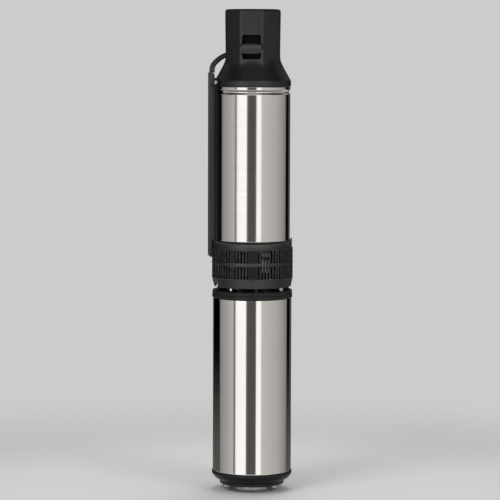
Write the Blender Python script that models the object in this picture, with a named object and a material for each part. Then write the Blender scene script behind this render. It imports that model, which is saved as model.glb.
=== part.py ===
"""Borehole submersible pump: a multistage pump end bolted on a four inch water-filled motor.

All lengths are in metres. +Z runs up the shaft, the front with the rope bar faces -Y, and the
origin lies under the middle of the motor's diaphragm cover, the lowest point of the pump.
An azimuth is measured from the front, towards +X.
"""

import math

import bmesh
import bpy
from mathutils import Matrix, Vector

MM = 0.001

# Clearances
SEAT_GAP = 0.3 * MM  # between pieces that rest on each other
RUN_GAP = 0.35 * MM  # round a journal

# Facets of turned pieces
FINE = 32
MEDIUM = 20
COARSE = 14
SMALL = 12
BOWL_FACETS = 16

# Motor: outside
BELL_FACE_Z = 7.8 * MM  # the bottom face of the lower end bell
BELL_FACE_RADIUS = 39.0 * MM
RIM_RADIUS = 48.6 * MM
LOWER_RIM_Z = 20.3 * MM
LOWER_RIM_HEIGHT = 3.7 * MM
MOTOR_SHELL_RADIUS = 47.6 * MM
MOTOR_SHELL_WALL = 1.2 * MM
MOTOR_SHELL_LENGTH = 209.6 * MM
UPPER_RIM_HEIGHT = 5.3 * MM
COVER_RADIUS = 19.0 * MM
COVER_WALL = 1.2 * MM
BOTTOM_SCREW_CIRCLE = 34.0 * MM
BOTTOM_SCREW_AZIMUTHS = (-65, 55, 175)

# Motor: inside
SHAFT_RADIUS = 8.0 * MM
SHAFT_EXTENSION = 38.1 * MM  # above the mounting face
SPLINE_LENGTH = 24.0 * MM
SPLINE_TEETH = 14
SPLINE_DEPTH = 1.0 * MM
ROTOR_RADIUS = 24.2 * MM
AIR_GAP = 0.5 * MM
CORE_LENGTH = MOTOR_SHELL_LENGTH - 91.6 * MM  # leaves room for the windings, bearings and bells
WINDING_HEIGHT = 17.0 * MM
BUSH_WALL = 4.6 * MM
BUSH_LENGTH = 15.0 * MM
THRUST_PADS = 6
THRUST_DISC_RADIUS = 19.0 * MM
THRUST_DISC_HEIGHT = 6.0 * MM

# Motor flange
PILOT_RADIUS = 25.0 * MM
PILOT_HEIGHT = 3.0 * MM
STUD_RADIUS = 3.9 * MM
STUD_AZIMUTHS = (-39, 51, 141, 231)
NUT_FLATS = 12.7 * MM
NUT_HEIGHT = 6.8 * MM

# Pump end
FLANGE_RADIUS = 48.2 * MM
FLANGE_HEIGHT = 6.2 * MM
INLET_HEIGHT = 46.2 * MM  # from the flange to the bracket's upper ring
BRACKET_RING_HEIGHT = 12.0 * MM
PUMP_SHELL_RADIUS = 45.25 * MM
PUMP_SHELL_WALL = 1.0 * MM
PUMP_SHELL_LENGTH = 185.0 * MM
ROLL_DEPTH = 1.8 * MM
ROLL_WIDTH = 6.0 * MM
ROLL_DROP = 6.4 * MM  # from the shell's top edge to the middle of the rolled groove
STAGES = 5
STAGE_PITCH = (PUMP_SHELL_LENGTH - 41.0 * MM) / STAGES  # the bracket, top bearing and head take the rest
BOWL_WALL = 2.4 * MM
EYE_RADIUS = 0.354 * PUMP_SHELL_RADIUS
IMPELLER_RADIUS = 0.73 * PUMP_SHELL_RADIUS
IMPELLER_VANES = 5
BOWL_VANES = 5
PLATE = 1.8 * MM
HEX_FLATS = 11.1 * MM
HUB_RADIUS = 8.5 * MM

# Strainer
STRAINER_RADIUS = PUMP_SHELL_RADIUS + 3.9 * MM
STRAINER_WALL = 1.9 * MM
STRAINER_RING_RADIUS = STRAINER_RADIUS - 1.2 * MM
# The nuts stand inside the strainer's lower edge, and the studs inside the motor's shell.
STUD_CIRCLE = min(STRAINER_RADIUS - 11.05 * MM, MOTOR_SHELL_RADIUS - 9.5 * MM)
STRAINER_RING_HEIGHT = 9.5 * MM  # from the upper slots to the top edge
STRAINER_DRAFT = 2.2 * MM  # how far the band below the slots draws in
STRAINER_RISE = 2.7 * MM  # the lower edge above the flange
STRAINER_TURN = 1.3  # azimuth of the solid pillar in front
SLOT_PITCH = 4.703  # degrees
SLOT_WIDTH = 1.9 * MM
SLOT_HEIGHT = 15.5 * MM
SLOT_RIB = 3.7 * MM
SLOTS_PER_SIDE = 36
FIRST_SLOT = 7.7  # degrees from the pillar

# Discharge head
BAND_RADIUS = PUMP_SHELL_RADIUS + 0.75 * MM
BAND_HEIGHT = 7.4 * MM
CONE_HEIGHT = 23.5 * MM
CONE_TOP_RADIUS = 33.6 * MM
NECK_FLATS = 66.2 * MM
NECK_DRAFT = 0.6 * MM
NECK_HEIGHT = 61.5 * MM
NECK_TURN = -3.3
NECK_CHAMFER = 1.6 * MM
SKIRT_LENGTH = 15.0 * MM
THREAD_RADIUS = 20.75 * MM
THREAD_DEPTH = 28.0 * MM
BORE_RADIUS = 19.0 * MM
WINDOW_WIDTH = 22.5 * MM
WINDOW_HEIGHT = 29.5 * MM
WINDOW_DEPTH = 11.6 * MM
WINDOW_DROP = 30.5 * MM  # from the top of the neck to the top of the window
WINDOW_CORNER = 3.0 * MM
BAR_HEIGHT = 15.8 * MM
BAR_DROP = 8.4 * MM  # from the top of the window to the top of the bar
BAR_THICKNESS = 6.0 * MM

# Check valve
VALVE_LIFT = 8.0 * MM
THROAT_RADIUS = 14.0 * MM
POPPET_RADIUS = 17.0 * MM
CHAMBER_RADIUS = 22.0 * MM
STEM_RADIUS = 3.0 * MM
SPRING_RADIUS = 6.5 * MM
SPRING_WIRE = 0.5 * MM
SPRING_TURNS = 4

# Cable guard and lead
GUARD_AZIMUTH = -90
GUARD_REACH = PUMP_SHELL_RADIUS + 9.55 * MM
GUARD_WALL = 1.6 * MM
GUARD_FLANGE = 2.0 * MM
GUARD_SPREAD = 28  # degrees from the guard's middle to the edge of its flange
GUARD_BOTTOM_DROP = 20.5 * MM  # below the strainer's top edge
GUARD_TOP_RISE = 16.8 * MM  # above the shell's top edge
GUARD_SCREW_TURN = 25.0  # degrees from the guard's middle
GUARD_SCREW_RISE = 5.0 * MM
LEAD_DIAMETER = 6.6 * MM
COIL_RADIUS = 37.0 * MM
COIL_WIDTH = 13.6 * MM
COIL_HEIGHT = 6.8 * MM

# Heights worked out from the sizes above
MOTOR_SHELL_Z = LOWER_RIM_Z + LOWER_RIM_HEIGHT + SEAT_GAP
UPPER_RIM_Z = MOTOR_SHELL_Z + MOTOR_SHELL_LENGTH + SEAT_GAP
MOUNTING_Z = UPPER_RIM_Z + UPPER_RIM_HEIGHT
FLANGE_Z = MOUNTING_Z + SEAT_GAP
FLANGE_TOP_Z = FLANGE_Z + FLANGE_HEIGHT
RING_Z = FLANGE_TOP_Z + INLET_HEIGHT
PUMP_SHELL_Z = RING_Z + BRACKET_RING_HEIGHT + SEAT_GAP
PUMP_SHELL_TOP = PUMP_SHELL_Z + PUMP_SHELL_LENGTH
STRAINER_Z = FLANGE_TOP_Z + STRAINER_RISE
STRAINER_TOP = PUMP_SHELL_Z
STAGE_Z = PUMP_SHELL_Z + 7.5 * MM
STACK_TOP = STAGE_Z + STAGES * STAGE_PITCH
BAND_Z = PUMP_SHELL_TOP + SEAT_GAP
BAND_TOP = BAND_Z + BAND_HEIGHT
CONE_TOP = BAND_TOP + CONE_HEIGHT
HEAD_TOP = CONE_TOP + NECK_HEIGHT
SKIRT_Z = BAND_Z - SKIRT_LENGTH
ROLL_Z = PUMP_SHELL_TOP - ROLL_DROP
SEAT_SHOULDER = BAND_Z + 2.0 * MM
GUIDE_SHOULDER = SEAT_SHOULDER + 25.0 * MM

# Radii that follow from their neighbours
MOTOR_BORE = MOTOR_SHELL_RADIUS - MOTOR_SHELL_WALL
MOTOR_FIT = MOTOR_BORE - SEAT_GAP
PUMP_BORE = PUMP_SHELL_RADIUS - PUMP_SHELL_WALL
PUMP_FIT = PUMP_BORE - RUN_GAP
BUSH_BORE = SHAFT_RADIUS + RUN_GAP
BUSH_RADIUS = BUSH_BORE + BUSH_WALL
BUSH_SEAT = BUSH_RADIUS + SEAT_GAP
COVER_SEAT = COVER_RADIUS + SEAT_GAP
FLOOR_Z = BELL_FACE_Z + 14.2 * MM  # under side of the lower bell's inner floor
FLOOR_TOP = FLOOR_Z + 3.2 * MM
LEDGE_Z = BELL_FACE_Z + 5.2 * MM
THRUST_BASE = FLOOR_TOP + SEAT_GAP
PAD_TOP = THRUST_BASE + 7.2 * MM
DISC_Z = PAD_TOP + SEAT_GAP
POCKET_TOP = DISC_Z + THRUST_DISC_HEIGHT + 3.0 * MM
LOWER_BUSH_Z = POCKET_TOP + SEAT_GAP
HUB_TOP = LOWER_BUSH_Z + BUSH_LENGTH
CORE_Z = MOTOR_SHELL_Z + 48.0 * MM
CORE_TOP = CORE_Z + CORE_LENGTH
UPPER_BUSH_Z = MOUNTING_Z - 26.0 * MM
SHAFT_TOP = MOUNTING_Z + SHAFT_EXTENSION
STRAINER_BORE = STRAINER_RADIUS - STRAINER_WALL


def clear_scene():
    for item in list(bpy.data.objects):
        bpy.data.objects.remove(item, do_unlink=True)


def direction(azimuth):
    turn = math.radians(azimuth)
    return Vector((math.sin(turn), -math.cos(turn), 0))


def at(azimuth, radius, z):
    return direction(azimuth) * radius + Vector((0, 0, z))


def finish(colour, roughness, metallic=0.0):
    return {"colour": colour, "roughness": roughness, "metallic": metallic}


STEEL = finish((0.62, 0.60, 0.57), 0.28, 1.0)
BRIGHT = finish((0.72, 0.71, 0.69), 0.25, 1.0)
PLASTIC = finish((0.022, 0.022, 0.023), 0.45)
RUBBER = finish((0.03, 0.03, 0.03), 0.8)
CREAM = finish((0.72, 0.70, 0.62), 0.5)
COPPER = finish((0.62, 0.26, 0.12), 0.4, 1.0)
IRON = finish((0.22, 0.22, 0.24), 0.5, 1.0)
CARBON = finish((0.06, 0.06, 0.07), 0.5)
JACKET = finish((0.05, 0.055, 0.055), 0.55)


def material(name, look):
    made = bpy.data.materials.new(name)
    made.use_nodes = True
    shader = made.node_tree.nodes["Principled BSDF"]
    shader.inputs["Base Color"].default_value = (*look["colour"], 1)
    shader.inputs["Roughness"].default_value = look["roughness"]
    shader.inputs["Metallic"].default_value = look["metallic"]
    return made


def add(name, bm, look=None, parent=None, place=None, rotation=0.0):
    """Makes an object of a bmesh, shaded smooth, at its place and turned about Z."""
    mesh = bpy.data.meshes.new(name)
    bmesh.ops.recalc_face_normals(bm, faces=bm.faces)
    bm.to_mesh(mesh)
    bm.free()
    mesh.shade_smooth()
    mesh.set_sharp_from_angle(angle=math.radians(32))
    made = bpy.data.objects.new(name, mesh)
    bpy.context.scene.collection.objects.link(made)
    if look:
        mesh.materials.append(material(name, look))
    made.parent = parent
    made.location = place or (0, 0, 0)
    made.rotation_euler = (0, 0, rotation)
    return made


def guide(made):
    """Marks an object as a cutter or a shape that another one takes in."""
    made.hide_render = True
    made.display_type = "WIRE"
    return made


def combine(target, tool, operation):
    step = target.modifiers.new(tool.name, "BOOLEAN")
    step.operation = operation
    step.solver = "EXACT"
    step.object = guide(tool)
    return target


def cut(target, tool):
    return combine(target, tool, "DIFFERENCE")


def fuse(target, tool):
    return combine(target, tool, "UNION")


def lathe(outline, segments, closed=True):
    """Spins (radius, z) points about the Z axis. An open outline starts and ends on the axis."""
    bm = bmesh.new()
    points = [bm.verts.new((r, 0, z)) for r, z in outline]
    edges = [bm.edges.new(pair) for pair in zip(points, points[1:])]
    if closed:
        edges.append(bm.edges.new((points[-1], points[0])))
    bmesh.ops.spin(
        bm,
        geom=points + edges,
        cent=(0, 0, 0),
        axis=(0, 0, 1),
        angle=math.tau,
        steps=segments,
    )
    bmesh.ops.remove_doubles(bm, verts=bm.verts, dist=1e-6)
    return bm


def ring(inner, outer, low, high):
    return [(inner, low), (outer, low), (outer, high), (inner, high)]


def prism(outline, low, high, taper=1.0):
    """Extrudes a flat outline of (x, y) points from low to high."""
    bm = bmesh.new()
    base = bm.faces.new([bm.verts.new((x, y, low)) for x, y in outline])
    top = bmesh.ops.extrude_face_region(bm, geom=[base])["geom"]
    for corner in (item for item in top if isinstance(item, bmesh.types.BMVert)):
        corner.co = (corner.co.x * taper, corner.co.y * taper, high)
    return bm


def polygon(sides, flats, turn=0.0):
    radius = flats / 2 / math.cos(math.pi / sides)
    angles = [turn + math.tau * (i + 0.5) / sides for i in range(sides)]
    return [(radius * math.cos(a), radius * math.sin(a)) for a in angles]


def star(teeth, radius, depth):
    """The outline of a spline: each tooth and each root is a short flat."""
    points = []
    for i in range(teeth * 4):
        reach = radius if i % 4 < 2 else radius - depth
        turn = math.tau * (i + 0.5) / (teeth * 4)
        points.append((reach * math.cos(turn), reach * math.sin(turn)))
    return points


def rod(radius, low, high, segments=COARSE):
    return lathe([(0, low), (radius, low), (radius, high), (0, high)], segments, closed=False)


def turned_to(bm, azimuth, radius, z, along_radius=True):
    """Moves a bmesh made on the Z axis so that its axis lies at a place on the pump's side."""
    out = direction(azimuth)
    frame = Matrix.Translation(at(azimuth, radius, z))
    if along_radius:
        side = Vector((0, 0, 1)).cross(out)
        axes = Matrix((side, out.cross(side), out)).transposed().to_4x4()
        frame = frame @ axes
    bmesh.ops.transform(bm, matrix=frame, verts=bm.verts)
    return bm


def vane(start_radius, end_radius, sweep, thickness, low, high, steps=2):
    """A curved blade: its middle line swings through sweep degrees from one radius to another."""
    left, right = [], []
    for i in range(steps + 1):
        share = i / steps
        radius = start_radius + (end_radius - start_radius) * share
        turn = math.radians(sweep) * share**0.8
        middle = Vector((radius * math.cos(turn), radius * math.sin(turn)))
        side = Vector((-math.sin(turn - 0.6), math.cos(turn - 0.6))) * thickness / 2
        left.append(tuple(middle + side))
        right.append(tuple(middle - side))
    return prism(left + right[::-1], low, high)


def vane_ring(name, count, *shape):
    """All the blades of one wheel as one guide object."""
    whole = bmesh.new()
    for i in range(count):
        blade = vane(*shape)
        bmesh.ops.rotate(
            blade, verts=blade.verts, matrix=Matrix.Rotation(math.tau * i / count, 3, "Z")
        )
        carrier = bpy.data.meshes.new(name)
        blade.to_mesh(carrier)
        blade.free()
        whole.from_mesh(carrier)
        bpy.data.meshes.remove(carrier)
    return add(name, whole)


def hex_bore(name, low, high):
    """The cutter for a bore that slides on the hexagonal pump shaft."""
    return add(name, prism(polygon(6, HEX_FLATS + 2 * SEAT_GAP), low, high))


# Motor
def lower_end_bell():
    outline = [
        (COVER_SEAT, BELL_FACE_Z),
        (BELL_FACE_RADIUS, BELL_FACE_Z),
        (BELL_FACE_RADIUS, BELL_FACE_Z + 4.0 * MM),
        (BELL_FACE_RADIUS + 2.2 * MM, BELL_FACE_Z + 5.4 * MM),
        (RIM_RADIUS - 2.4 * MM, LOWER_RIM_Z - 3.4 * MM),
        (RIM_RADIUS, LOWER_RIM_Z),
        (RIM_RADIUS, LOWER_RIM_Z + LOWER_RIM_HEIGHT),
        (MOTOR_FIT, LOWER_RIM_Z + LOWER_RIM_HEIGHT),
        (MOTOR_FIT, POCKET_TOP + 3 * MM),
        (BUSH_SEAT + 5 * MM, POCKET_TOP + 3 * MM),
        (BUSH_SEAT + 5 * MM, HUB_TOP),
        (BUSH_SEAT, HUB_TOP),
        (BUSH_SEAT, POCKET_TOP),
        (THRUST_DISC_RADIUS + 2.5 * MM, POCKET_TOP - 2 * MM),
        (THRUST_DISC_RADIUS + 2.5 * MM, FLOOR_TOP),
        (6 * MM, FLOOR_TOP),
        (6 * MM, FLOOR_Z),
        (COVER_SEAT + 7.7 * MM, FLOOR_Z),
        (COVER_SEAT + 7.7 * MM, LEDGE_Z),
        (COVER_SEAT, LEDGE_Z),
    ]
    bell = add("lower_end_bell", lathe(outline, FINE), PLASTIC)
    for number, azimuth in enumerate(BOTTOM_SCREW_AZIMUTHS, 1):
        hole = rod(1.6 * MM + SEAT_GAP, BELL_FACE_Z - 1 * MM, BELL_FACE_Z + 9 * MM, 12)
        turned_to(hole, azimuth, BOTTOM_SCREW_CIRCLE, 0, along_radius=False)
        cut(bell, add(f"bottom_hole_{number}", hole))
    return bell


def bottom_screws():
    for number, azimuth in enumerate(BOTTOM_SCREW_AZIMUTHS, 1):
        top = BELL_FACE_Z - SEAT_GAP
        head = 3.8 * MM
        outline = [
            (0, top - head),
            (2.9 * MM, top - head),
            (3.9 * MM, top - head + 1.2 * MM),
            (3.9 * MM, top),
            (1.6 * MM, top),
            (1.6 * MM, BELL_FACE_Z + 8 * MM),
            (0, BELL_FACE_Z + 8.6 * MM),
        ]
        place = at(azimuth, BOTTOM_SCREW_CIRCLE, 0)
        add(f"bottom_screw_{number}", lathe(outline, 12, closed=False), BRIGHT, place=place)


def motor_shell():
    outline = ring(MOTOR_BORE, MOTOR_SHELL_RADIUS, MOTOR_SHELL_Z, MOTOR_SHELL_Z + MOTOR_SHELL_LENGTH)
    add("motor_shell", lathe(outline, FINE), STEEL)


def upper_end_bell():
    spigot = UPPER_RIM_Z - 10 * MM
    seal_seat = SHAFT_RADIUS + 3 * MM
    outline = [
        (seal_seat, MOUNTING_Z + PILOT_HEIGHT),
        (PILOT_RADIUS, MOUNTING_Z + PILOT_HEIGHT),
        (PILOT_RADIUS, MOUNTING_Z),
        (RIM_RADIUS - 0.6 * MM, MOUNTING_Z),
        (RIM_RADIUS, MOUNTING_Z - 0.6 * MM),
        (RIM_RADIUS, UPPER_RIM_Z),
        (MOTOR_FIT, UPPER_RIM_Z),
        (MOTOR_FIT, spigot),
        (BUSH_SEAT + 5 * MM, spigot),
        (BUSH_SEAT + 5 * MM, UPPER_BUSH_Z),
        (BUSH_SEAT, UPPER_BUSH_Z),
        (BUSH_SEAT, UPPER_BUSH_Z + BUSH_LENGTH + SEAT_GAP),
        (seal_seat, UPPER_BUSH_Z + BUSH_LENGTH + SEAT_GAP),
    ]
    bell = add("upper_end_bell", lathe(outline, FINE), PLASTIC)
    for number, azimuth in enumerate(STUD_AZIMUTHS, 1):
        hole = rod(STUD_RADIUS + SEAT_GAP, spigot + 2 * MM, MOUNTING_Z + 1 * MM, 12)
        turned_to(hole, azimuth, STUD_CIRCLE, 0, along_radius=False)
        cut(bell, add(f"stud_hole_{number}", hole))
    socket = rod(LEAD_DIAMETER / 2 + 1.3 * MM, spigot + 1 * MM, MOUNTING_Z + 1 * MM, 12)
    turned_to(socket, GUARD_AZIMUTH, connector_circle(), 0, along_radius=False)
    cut(bell, add("connector_socket", socket))


def connector_circle():
    """How far from the axis the lead's connector stands: just outside the pilot."""
    return PILOT_RADIUS + LEAD_DIAMETER / 2 + 6.4 * MM


def motor_studs_and_nuts():
    for number, azimuth in enumerate(STUD_AZIMUTHS, 1):
        nut_z = FLANGE_TOP_Z + SEAT_GAP
        low = UPPER_RIM_Z - 8 * MM + SEAT_GAP
        high = nut_z + NUT_HEIGHT + 2.4 * MM
        outline = [
            (0, low),
            (STUD_RADIUS, low),
            (STUD_RADIUS, high - 0.8 * MM),
            (STUD_RADIUS - 0.8 * MM, high),
            (0, high),
        ]
        place = at(azimuth, STUD_CIRCLE, 0)
        add(f"motor_stud_{number}", lathe(outline, 12, closed=False), BRIGHT, place=place)
        bore = (STUD_RADIUS + SEAT_GAP) / math.cos(math.pi / 6)
        corner = NUT_FLATS / 2 / math.cos(math.pi / 6)
        outline = [
            (bore, nut_z),
            (corner - 0.5 * MM, nut_z),
            (corner, nut_z + 0.8 * MM),
            (corner, nut_z + NUT_HEIGHT - 0.8 * MM),
            (corner - 0.8 * MM, nut_z + NUT_HEIGHT),
            (bore, nut_z + NUT_HEIGHT),
        ]
        turn = math.radians(azimuth)
        add(f"stud_nut_{number}", lathe(outline, 6), BRIGHT, place=place, rotation=turn)


def stator():
    add("stator_core", lathe(ring(ROTOR_RADIUS + AIR_GAP, MOTOR_FIT, CORE_Z, CORE_TOP), MEDIUM), IRON)
    inner = ROTOR_RADIUS + AIR_GAP + 3 * MM
    outer = MOTOR_FIT - 3 * MM
    for name, low in (
        ("lower_winding", CORE_Z - SEAT_GAP - WINDING_HEIGHT),
        ("upper_winding", CORE_TOP + SEAT_GAP),
    ):
        high = low + WINDING_HEIGHT
        middle = (low + high) / 2
        outline = [
            (inner, middle),
            (inner + 4 * MM, low),
            (outer - 4 * MM, low),
            (outer, middle),
            (outer - 4 * MM, high),
            (inner + 4 * MM, high),
        ]
        add(name, lathe(outline, COARSE), COPPER)


def bush(name, low):
    add(name, lathe(ring(BUSH_BORE, BUSH_RADIUS, low, low + BUSH_LENGTH), COARSE), CARBON)


def thrust_bearing():
    reach = THRUST_DISC_RADIUS + 2.0 * MM
    plate = ring(7 * MM, reach, THRUST_BASE, THRUST_BASE + 3 * MM)
    base = add("thrust_bearing", lathe(plate, COARSE), CARBON)
    pads = bmesh.new()
    span = math.tau / THRUST_PADS * 0.72
    for i in range(THRUST_PADS):
        middle = math.tau * (i + 0.5) / THRUST_PADS
        turns = [middle - span / 2, middle, middle + span / 2]
        outer = [(reach - 2 * MM, turn) for turn in turns]
        inner = [(9 * MM, turn) for turn in reversed(turns)]
        corners = [(r * math.cos(t), r * math.sin(t)) for r, t in outer + inner]
        low = [pads.verts.new((x, y, THRUST_BASE + 2 * MM)) for x, y in corners]
        high = [pads.verts.new((x, y, PAD_TOP)) for x, y in corners]
        pads.faces.new(low)
        pads.faces.new(high)
        for a in range(len(corners)):
            b = (a + 1) % len(corners)
            pads.faces.new((low[a], low[b], high[b], high[a]))
    fuse(base, add("thrust_pads", pads))


def diaphragm():
    low = LEDGE_Z + SEAT_GAP
    reach = COVER_SEAT + 7.7 * MM - SEAT_GAP
    skin = 1.4 * MM
    outline = [
        (0, low + 5.5 * MM),
        (COVER_RADIUS - 6 * MM, low + 5.5 * MM),
        (COVER_RADIUS - 1 * MM, low),
        (reach, low),
        (reach, low + 2.4 * MM),
        (COVER_RADIUS + 1 * MM, low + 2.4 * MM),
        (COVER_RADIUS - 5 * MM, low + 5.5 * MM + skin),
        (0, low + 5.5 * MM + skin),
    ]
    add("diaphragm", lathe(outline, COARSE, closed=False), RUBBER)


def diaphragm_cover():
    top = LEDGE_Z - SEAT_GAP
    inner = COVER_RADIUS - COVER_WALL
    outline = [
        (0, 0),
        (COVER_RADIUS - 1.6 * MM, 0),
        (COVER_RADIUS - 0.5 * MM, 0.5 * MM),
        (COVER_RADIUS, 1.6 * MM),
        (COVER_RADIUS, top),
        (inner, top),
        (inner, COVER_WALL),
        (0, COVER_WALL),
    ]
    add("diaphragm_cover", lathe(outline, MEDIUM, closed=False), BRIGHT)


def shaft_seal():
    low = UPPER_BUSH_Z + BUSH_LENGTH + 3 * MM
    high = MOUNTING_Z + PILOT_HEIGHT - 0.6 * MM
    outline = ring(SHAFT_RADIUS + RUN_GAP, SHAFT_RADIUS + 3 * MM - SEAT_GAP, low, high)
    add("shaft_seal", lathe(outline, COARSE), RUBBER)


# Turning parts: motor shaft to the top of the pump shaft
def motor_rotor(turning):
    spline_z = SHAFT_TOP - SPLINE_LENGTH
    root = SHAFT_RADIUS - SPLINE_DEPTH
    outline = [
        (0, DISC_Z),
        (SHAFT_RADIUS, DISC_Z),
        (SHAFT_RADIUS, spline_z - 2 * MM),
        (root - 0.6 * MM, spline_z - 1 * MM),
        (root - 0.6 * MM, spline_z + 2 * MM),
        (0, spline_z + 2 * MM),
    ]
    shaft = add("motor_shaft", lathe(outline, COARSE, closed=False), STEEL, turning)
    teeth = prism(star(SPLINE_TEETH, SHAFT_RADIUS, SPLINE_DEPTH), spline_z, SHAFT_TOP)
    fuse(shaft, add("shaft_spline", teeth, parent=turning))
    core = ring(SHAFT_RADIUS + SEAT_GAP, ROTOR_RADIUS, CORE_Z, CORE_TOP)
    add("rotor_core", lathe(core, MEDIUM), IRON, turning)
    disc = ring(SHAFT_RADIUS + SEAT_GAP, THRUST_DISC_RADIUS, DISC_Z, DISC_Z + THRUST_DISC_HEIGHT)
    add("thrust_disc", lathe(disc, COARSE), STEEL, turning)
    low = MOUNTING_Z + PILOT_HEIGHT + 0.8 * MM
    inner = SHAFT_RADIUS + SEAT_GAP
    outline = [
        (inner, low),
        (SHAFT_RADIUS + 3 * MM, low),
        (SHAFT_RADIUS + 6.5 * MM, low + 1.4 * MM),
        (SHAFT_RADIUS + 6.5 * MM, low + 3 * MM),
        (SHAFT_RADIUS + 3 * MM, low + 4 * MM),
        (inner, low + 5.5 * MM),
    ]
    add("sand_slinger", lathe(outline, COARSE), RUBBER, turning)


def shaft_coupling(turning):
    low = SHAFT_TOP - SPLINE_LENGTH + 2 * MM
    high = impeller_hub_z(0) - SEAT_GAP
    waist = high - 14 * MM
    outline = [
        (0, low),
        (HUB_RADIUS + 3.2 * MM, low),
        (HUB_RADIUS + 3.2 * MM, waist - 3 * MM),
        (HUB_RADIUS + 0.2 * MM, waist),
        (HUB_RADIUS + 0.2 * MM, high),
        (0, high),
    ]
    coupling = add("shaft_coupling", lathe(outline, COARSE, closed=False), STEEL, turning)
    socket = star(SPLINE_TEETH, SHAFT_RADIUS + SEAT_GAP, SPLINE_DEPTH)
    cut(coupling, add("spline_socket", prism(socket, low - 1 * MM, SHAFT_TOP + 0.6 * MM), parent=turning))
    bore = hex_bore("coupling_bore", SHAFT_TOP, high + 1 * MM)
    cut(coupling, bore)


def pump_shaft(turning):
    high = STACK_TOP + 22 * MM
    add("pump_shaft", prism(polygon(6, HEX_FLATS), SHAFT_TOP + 1.2 * MM, high), STEEL, turning)
    sleeve = rod(HUB_RADIUS + 0.9 * MM, sleeve_z(), sleeve_z() + BUSH_LENGTH)
    sleeve = add("bearing_sleeve", sleeve, STEEL, turning)
    cut(sleeve, hex_bore("sleeve_bore", sleeve_z() - 1 * MM, sleeve_z() + BUSH_LENGTH + 1 * MM))
    nut_z = sleeve_z() + BUSH_LENGTH + SEAT_GAP
    nut = add("shaft_nut", rod(HUB_RADIUS + 0.5 * MM, nut_z, nut_z + 4 * MM, 12), BRIGHT, turning)
    cut(nut, hex_bore("nut_bore", nut_z - 1 * MM, nut_z + 5 * MM))


def stage_z(number):
    return STAGE_Z + number * STAGE_PITCH


def impeller_hub_z(number):
    return stage_z(number) + 1.5 * MM


def sleeve_z():
    return impeller_hub_z(STAGES)


def impeller(number, turning):
    """A closed wheel: an eye ring and lower shroud, swept blades, and an upper shroud on its hub."""
    base = stage_z(number)
    shroud = 1.2 * MM
    width = STAGE_PITCH * 0.27
    low = base + 1.2 * MM
    high = low + shroud + width
    neck = EYE_RADIUS - 0.9 * MM
    hub_low = impeller_hub_z(number)
    hub_high = impeller_hub_z(number + 1) - SEAT_GAP
    wheel = lathe(
        [
            (0, hub_low),
            (HUB_RADIUS, hub_low),
            (HUB_RADIUS, high),
            (IMPELLER_RADIUS, high),
            (IMPELLER_RADIUS, high + shroud),
            (HUB_RADIUS, high + shroud),
            (HUB_RADIUS, hub_high),
            (0, hub_high),
        ],
        COARSE,
        closed=False,
    )
    wheel = add(f"impeller_{number + 1}", wheel, CREAM, turning)
    eye = lathe(
        [
            (neck - 1.6 * MM, base - PLATE),
            (neck, base - PLATE),
            (neck, low),
            (IMPELLER_RADIUS, low),
            (IMPELLER_RADIUS, low + shroud),
            (neck - 1.6 * MM, low + shroud),
        ],
        COARSE,
    )
    shape = (neck - 1 * MM, IMPELLER_RADIUS - 0.5 * MM, -62, 1.6 * MM)
    blades = vane_ring(
        f"impeller_blades_{number + 1}",
        IMPELLER_VANES,
        *shape,
        low + shroud / 2,
        high + shroud / 2,
    )
    fuse(wheel, blades)
    fuse(wheel, add(f"impeller_eye_{number + 1}", eye))
    cut(wheel, hex_bore(f"impeller_bore_{number + 1}", hub_low - 1 * MM, hub_high + 1 * MM))


def diffuser(number):
    """A bowl: its plate closes the impeller's chamber, and blades lead the water back to the eye."""
    base = stage_z(number)
    high = base + STAGE_PITCH - SEAT_GAP
    plate_z = base + STAGE_PITCH * 0.46
    wall = PUMP_FIT - BOWL_WALL
    bowl = lathe(
        [
            (EYE_RADIUS, high - PLATE),
            (wall, high - PLATE),
            (wall, base),
            (PUMP_FIT, base),
            (PUMP_FIT, high),
            (EYE_RADIUS, high),
        ],
        BOWL_FACETS,
    )
    bowl = add(f"diffuser_{number + 1}", bowl, PLASTIC)
    bore = HUB_RADIUS + 2.5 * RUN_GAP
    plate = lathe(ring(bore, IMPELLER_RADIUS + 3 * MM, plate_z, plate_z + PLATE), BOWL_FACETS)
    shape = (EYE_RADIUS + 1 * MM, PUMP_FIT - BOWL_WALL / 2, 48, 2.0 * MM)
    blades = vane_ring(
        f"diffuser_blades_{number + 1}",
        BOWL_VANES,
        *shape,
        plate_z + PLATE / 2,
        high - PLATE / 2,
    )
    fuse(bowl, blades)
    fuse(bowl, add(f"diffuser_plate_{number + 1}", plate))


# Fixed parts of the pump end
def rib_azimuths():
    """Three ribs stand between the studs, and two more leave room for the lead's connector."""
    return [GUARD_AZIMUTH + turn for turn in (-20, 25, 96, 186, 276)]


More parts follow.
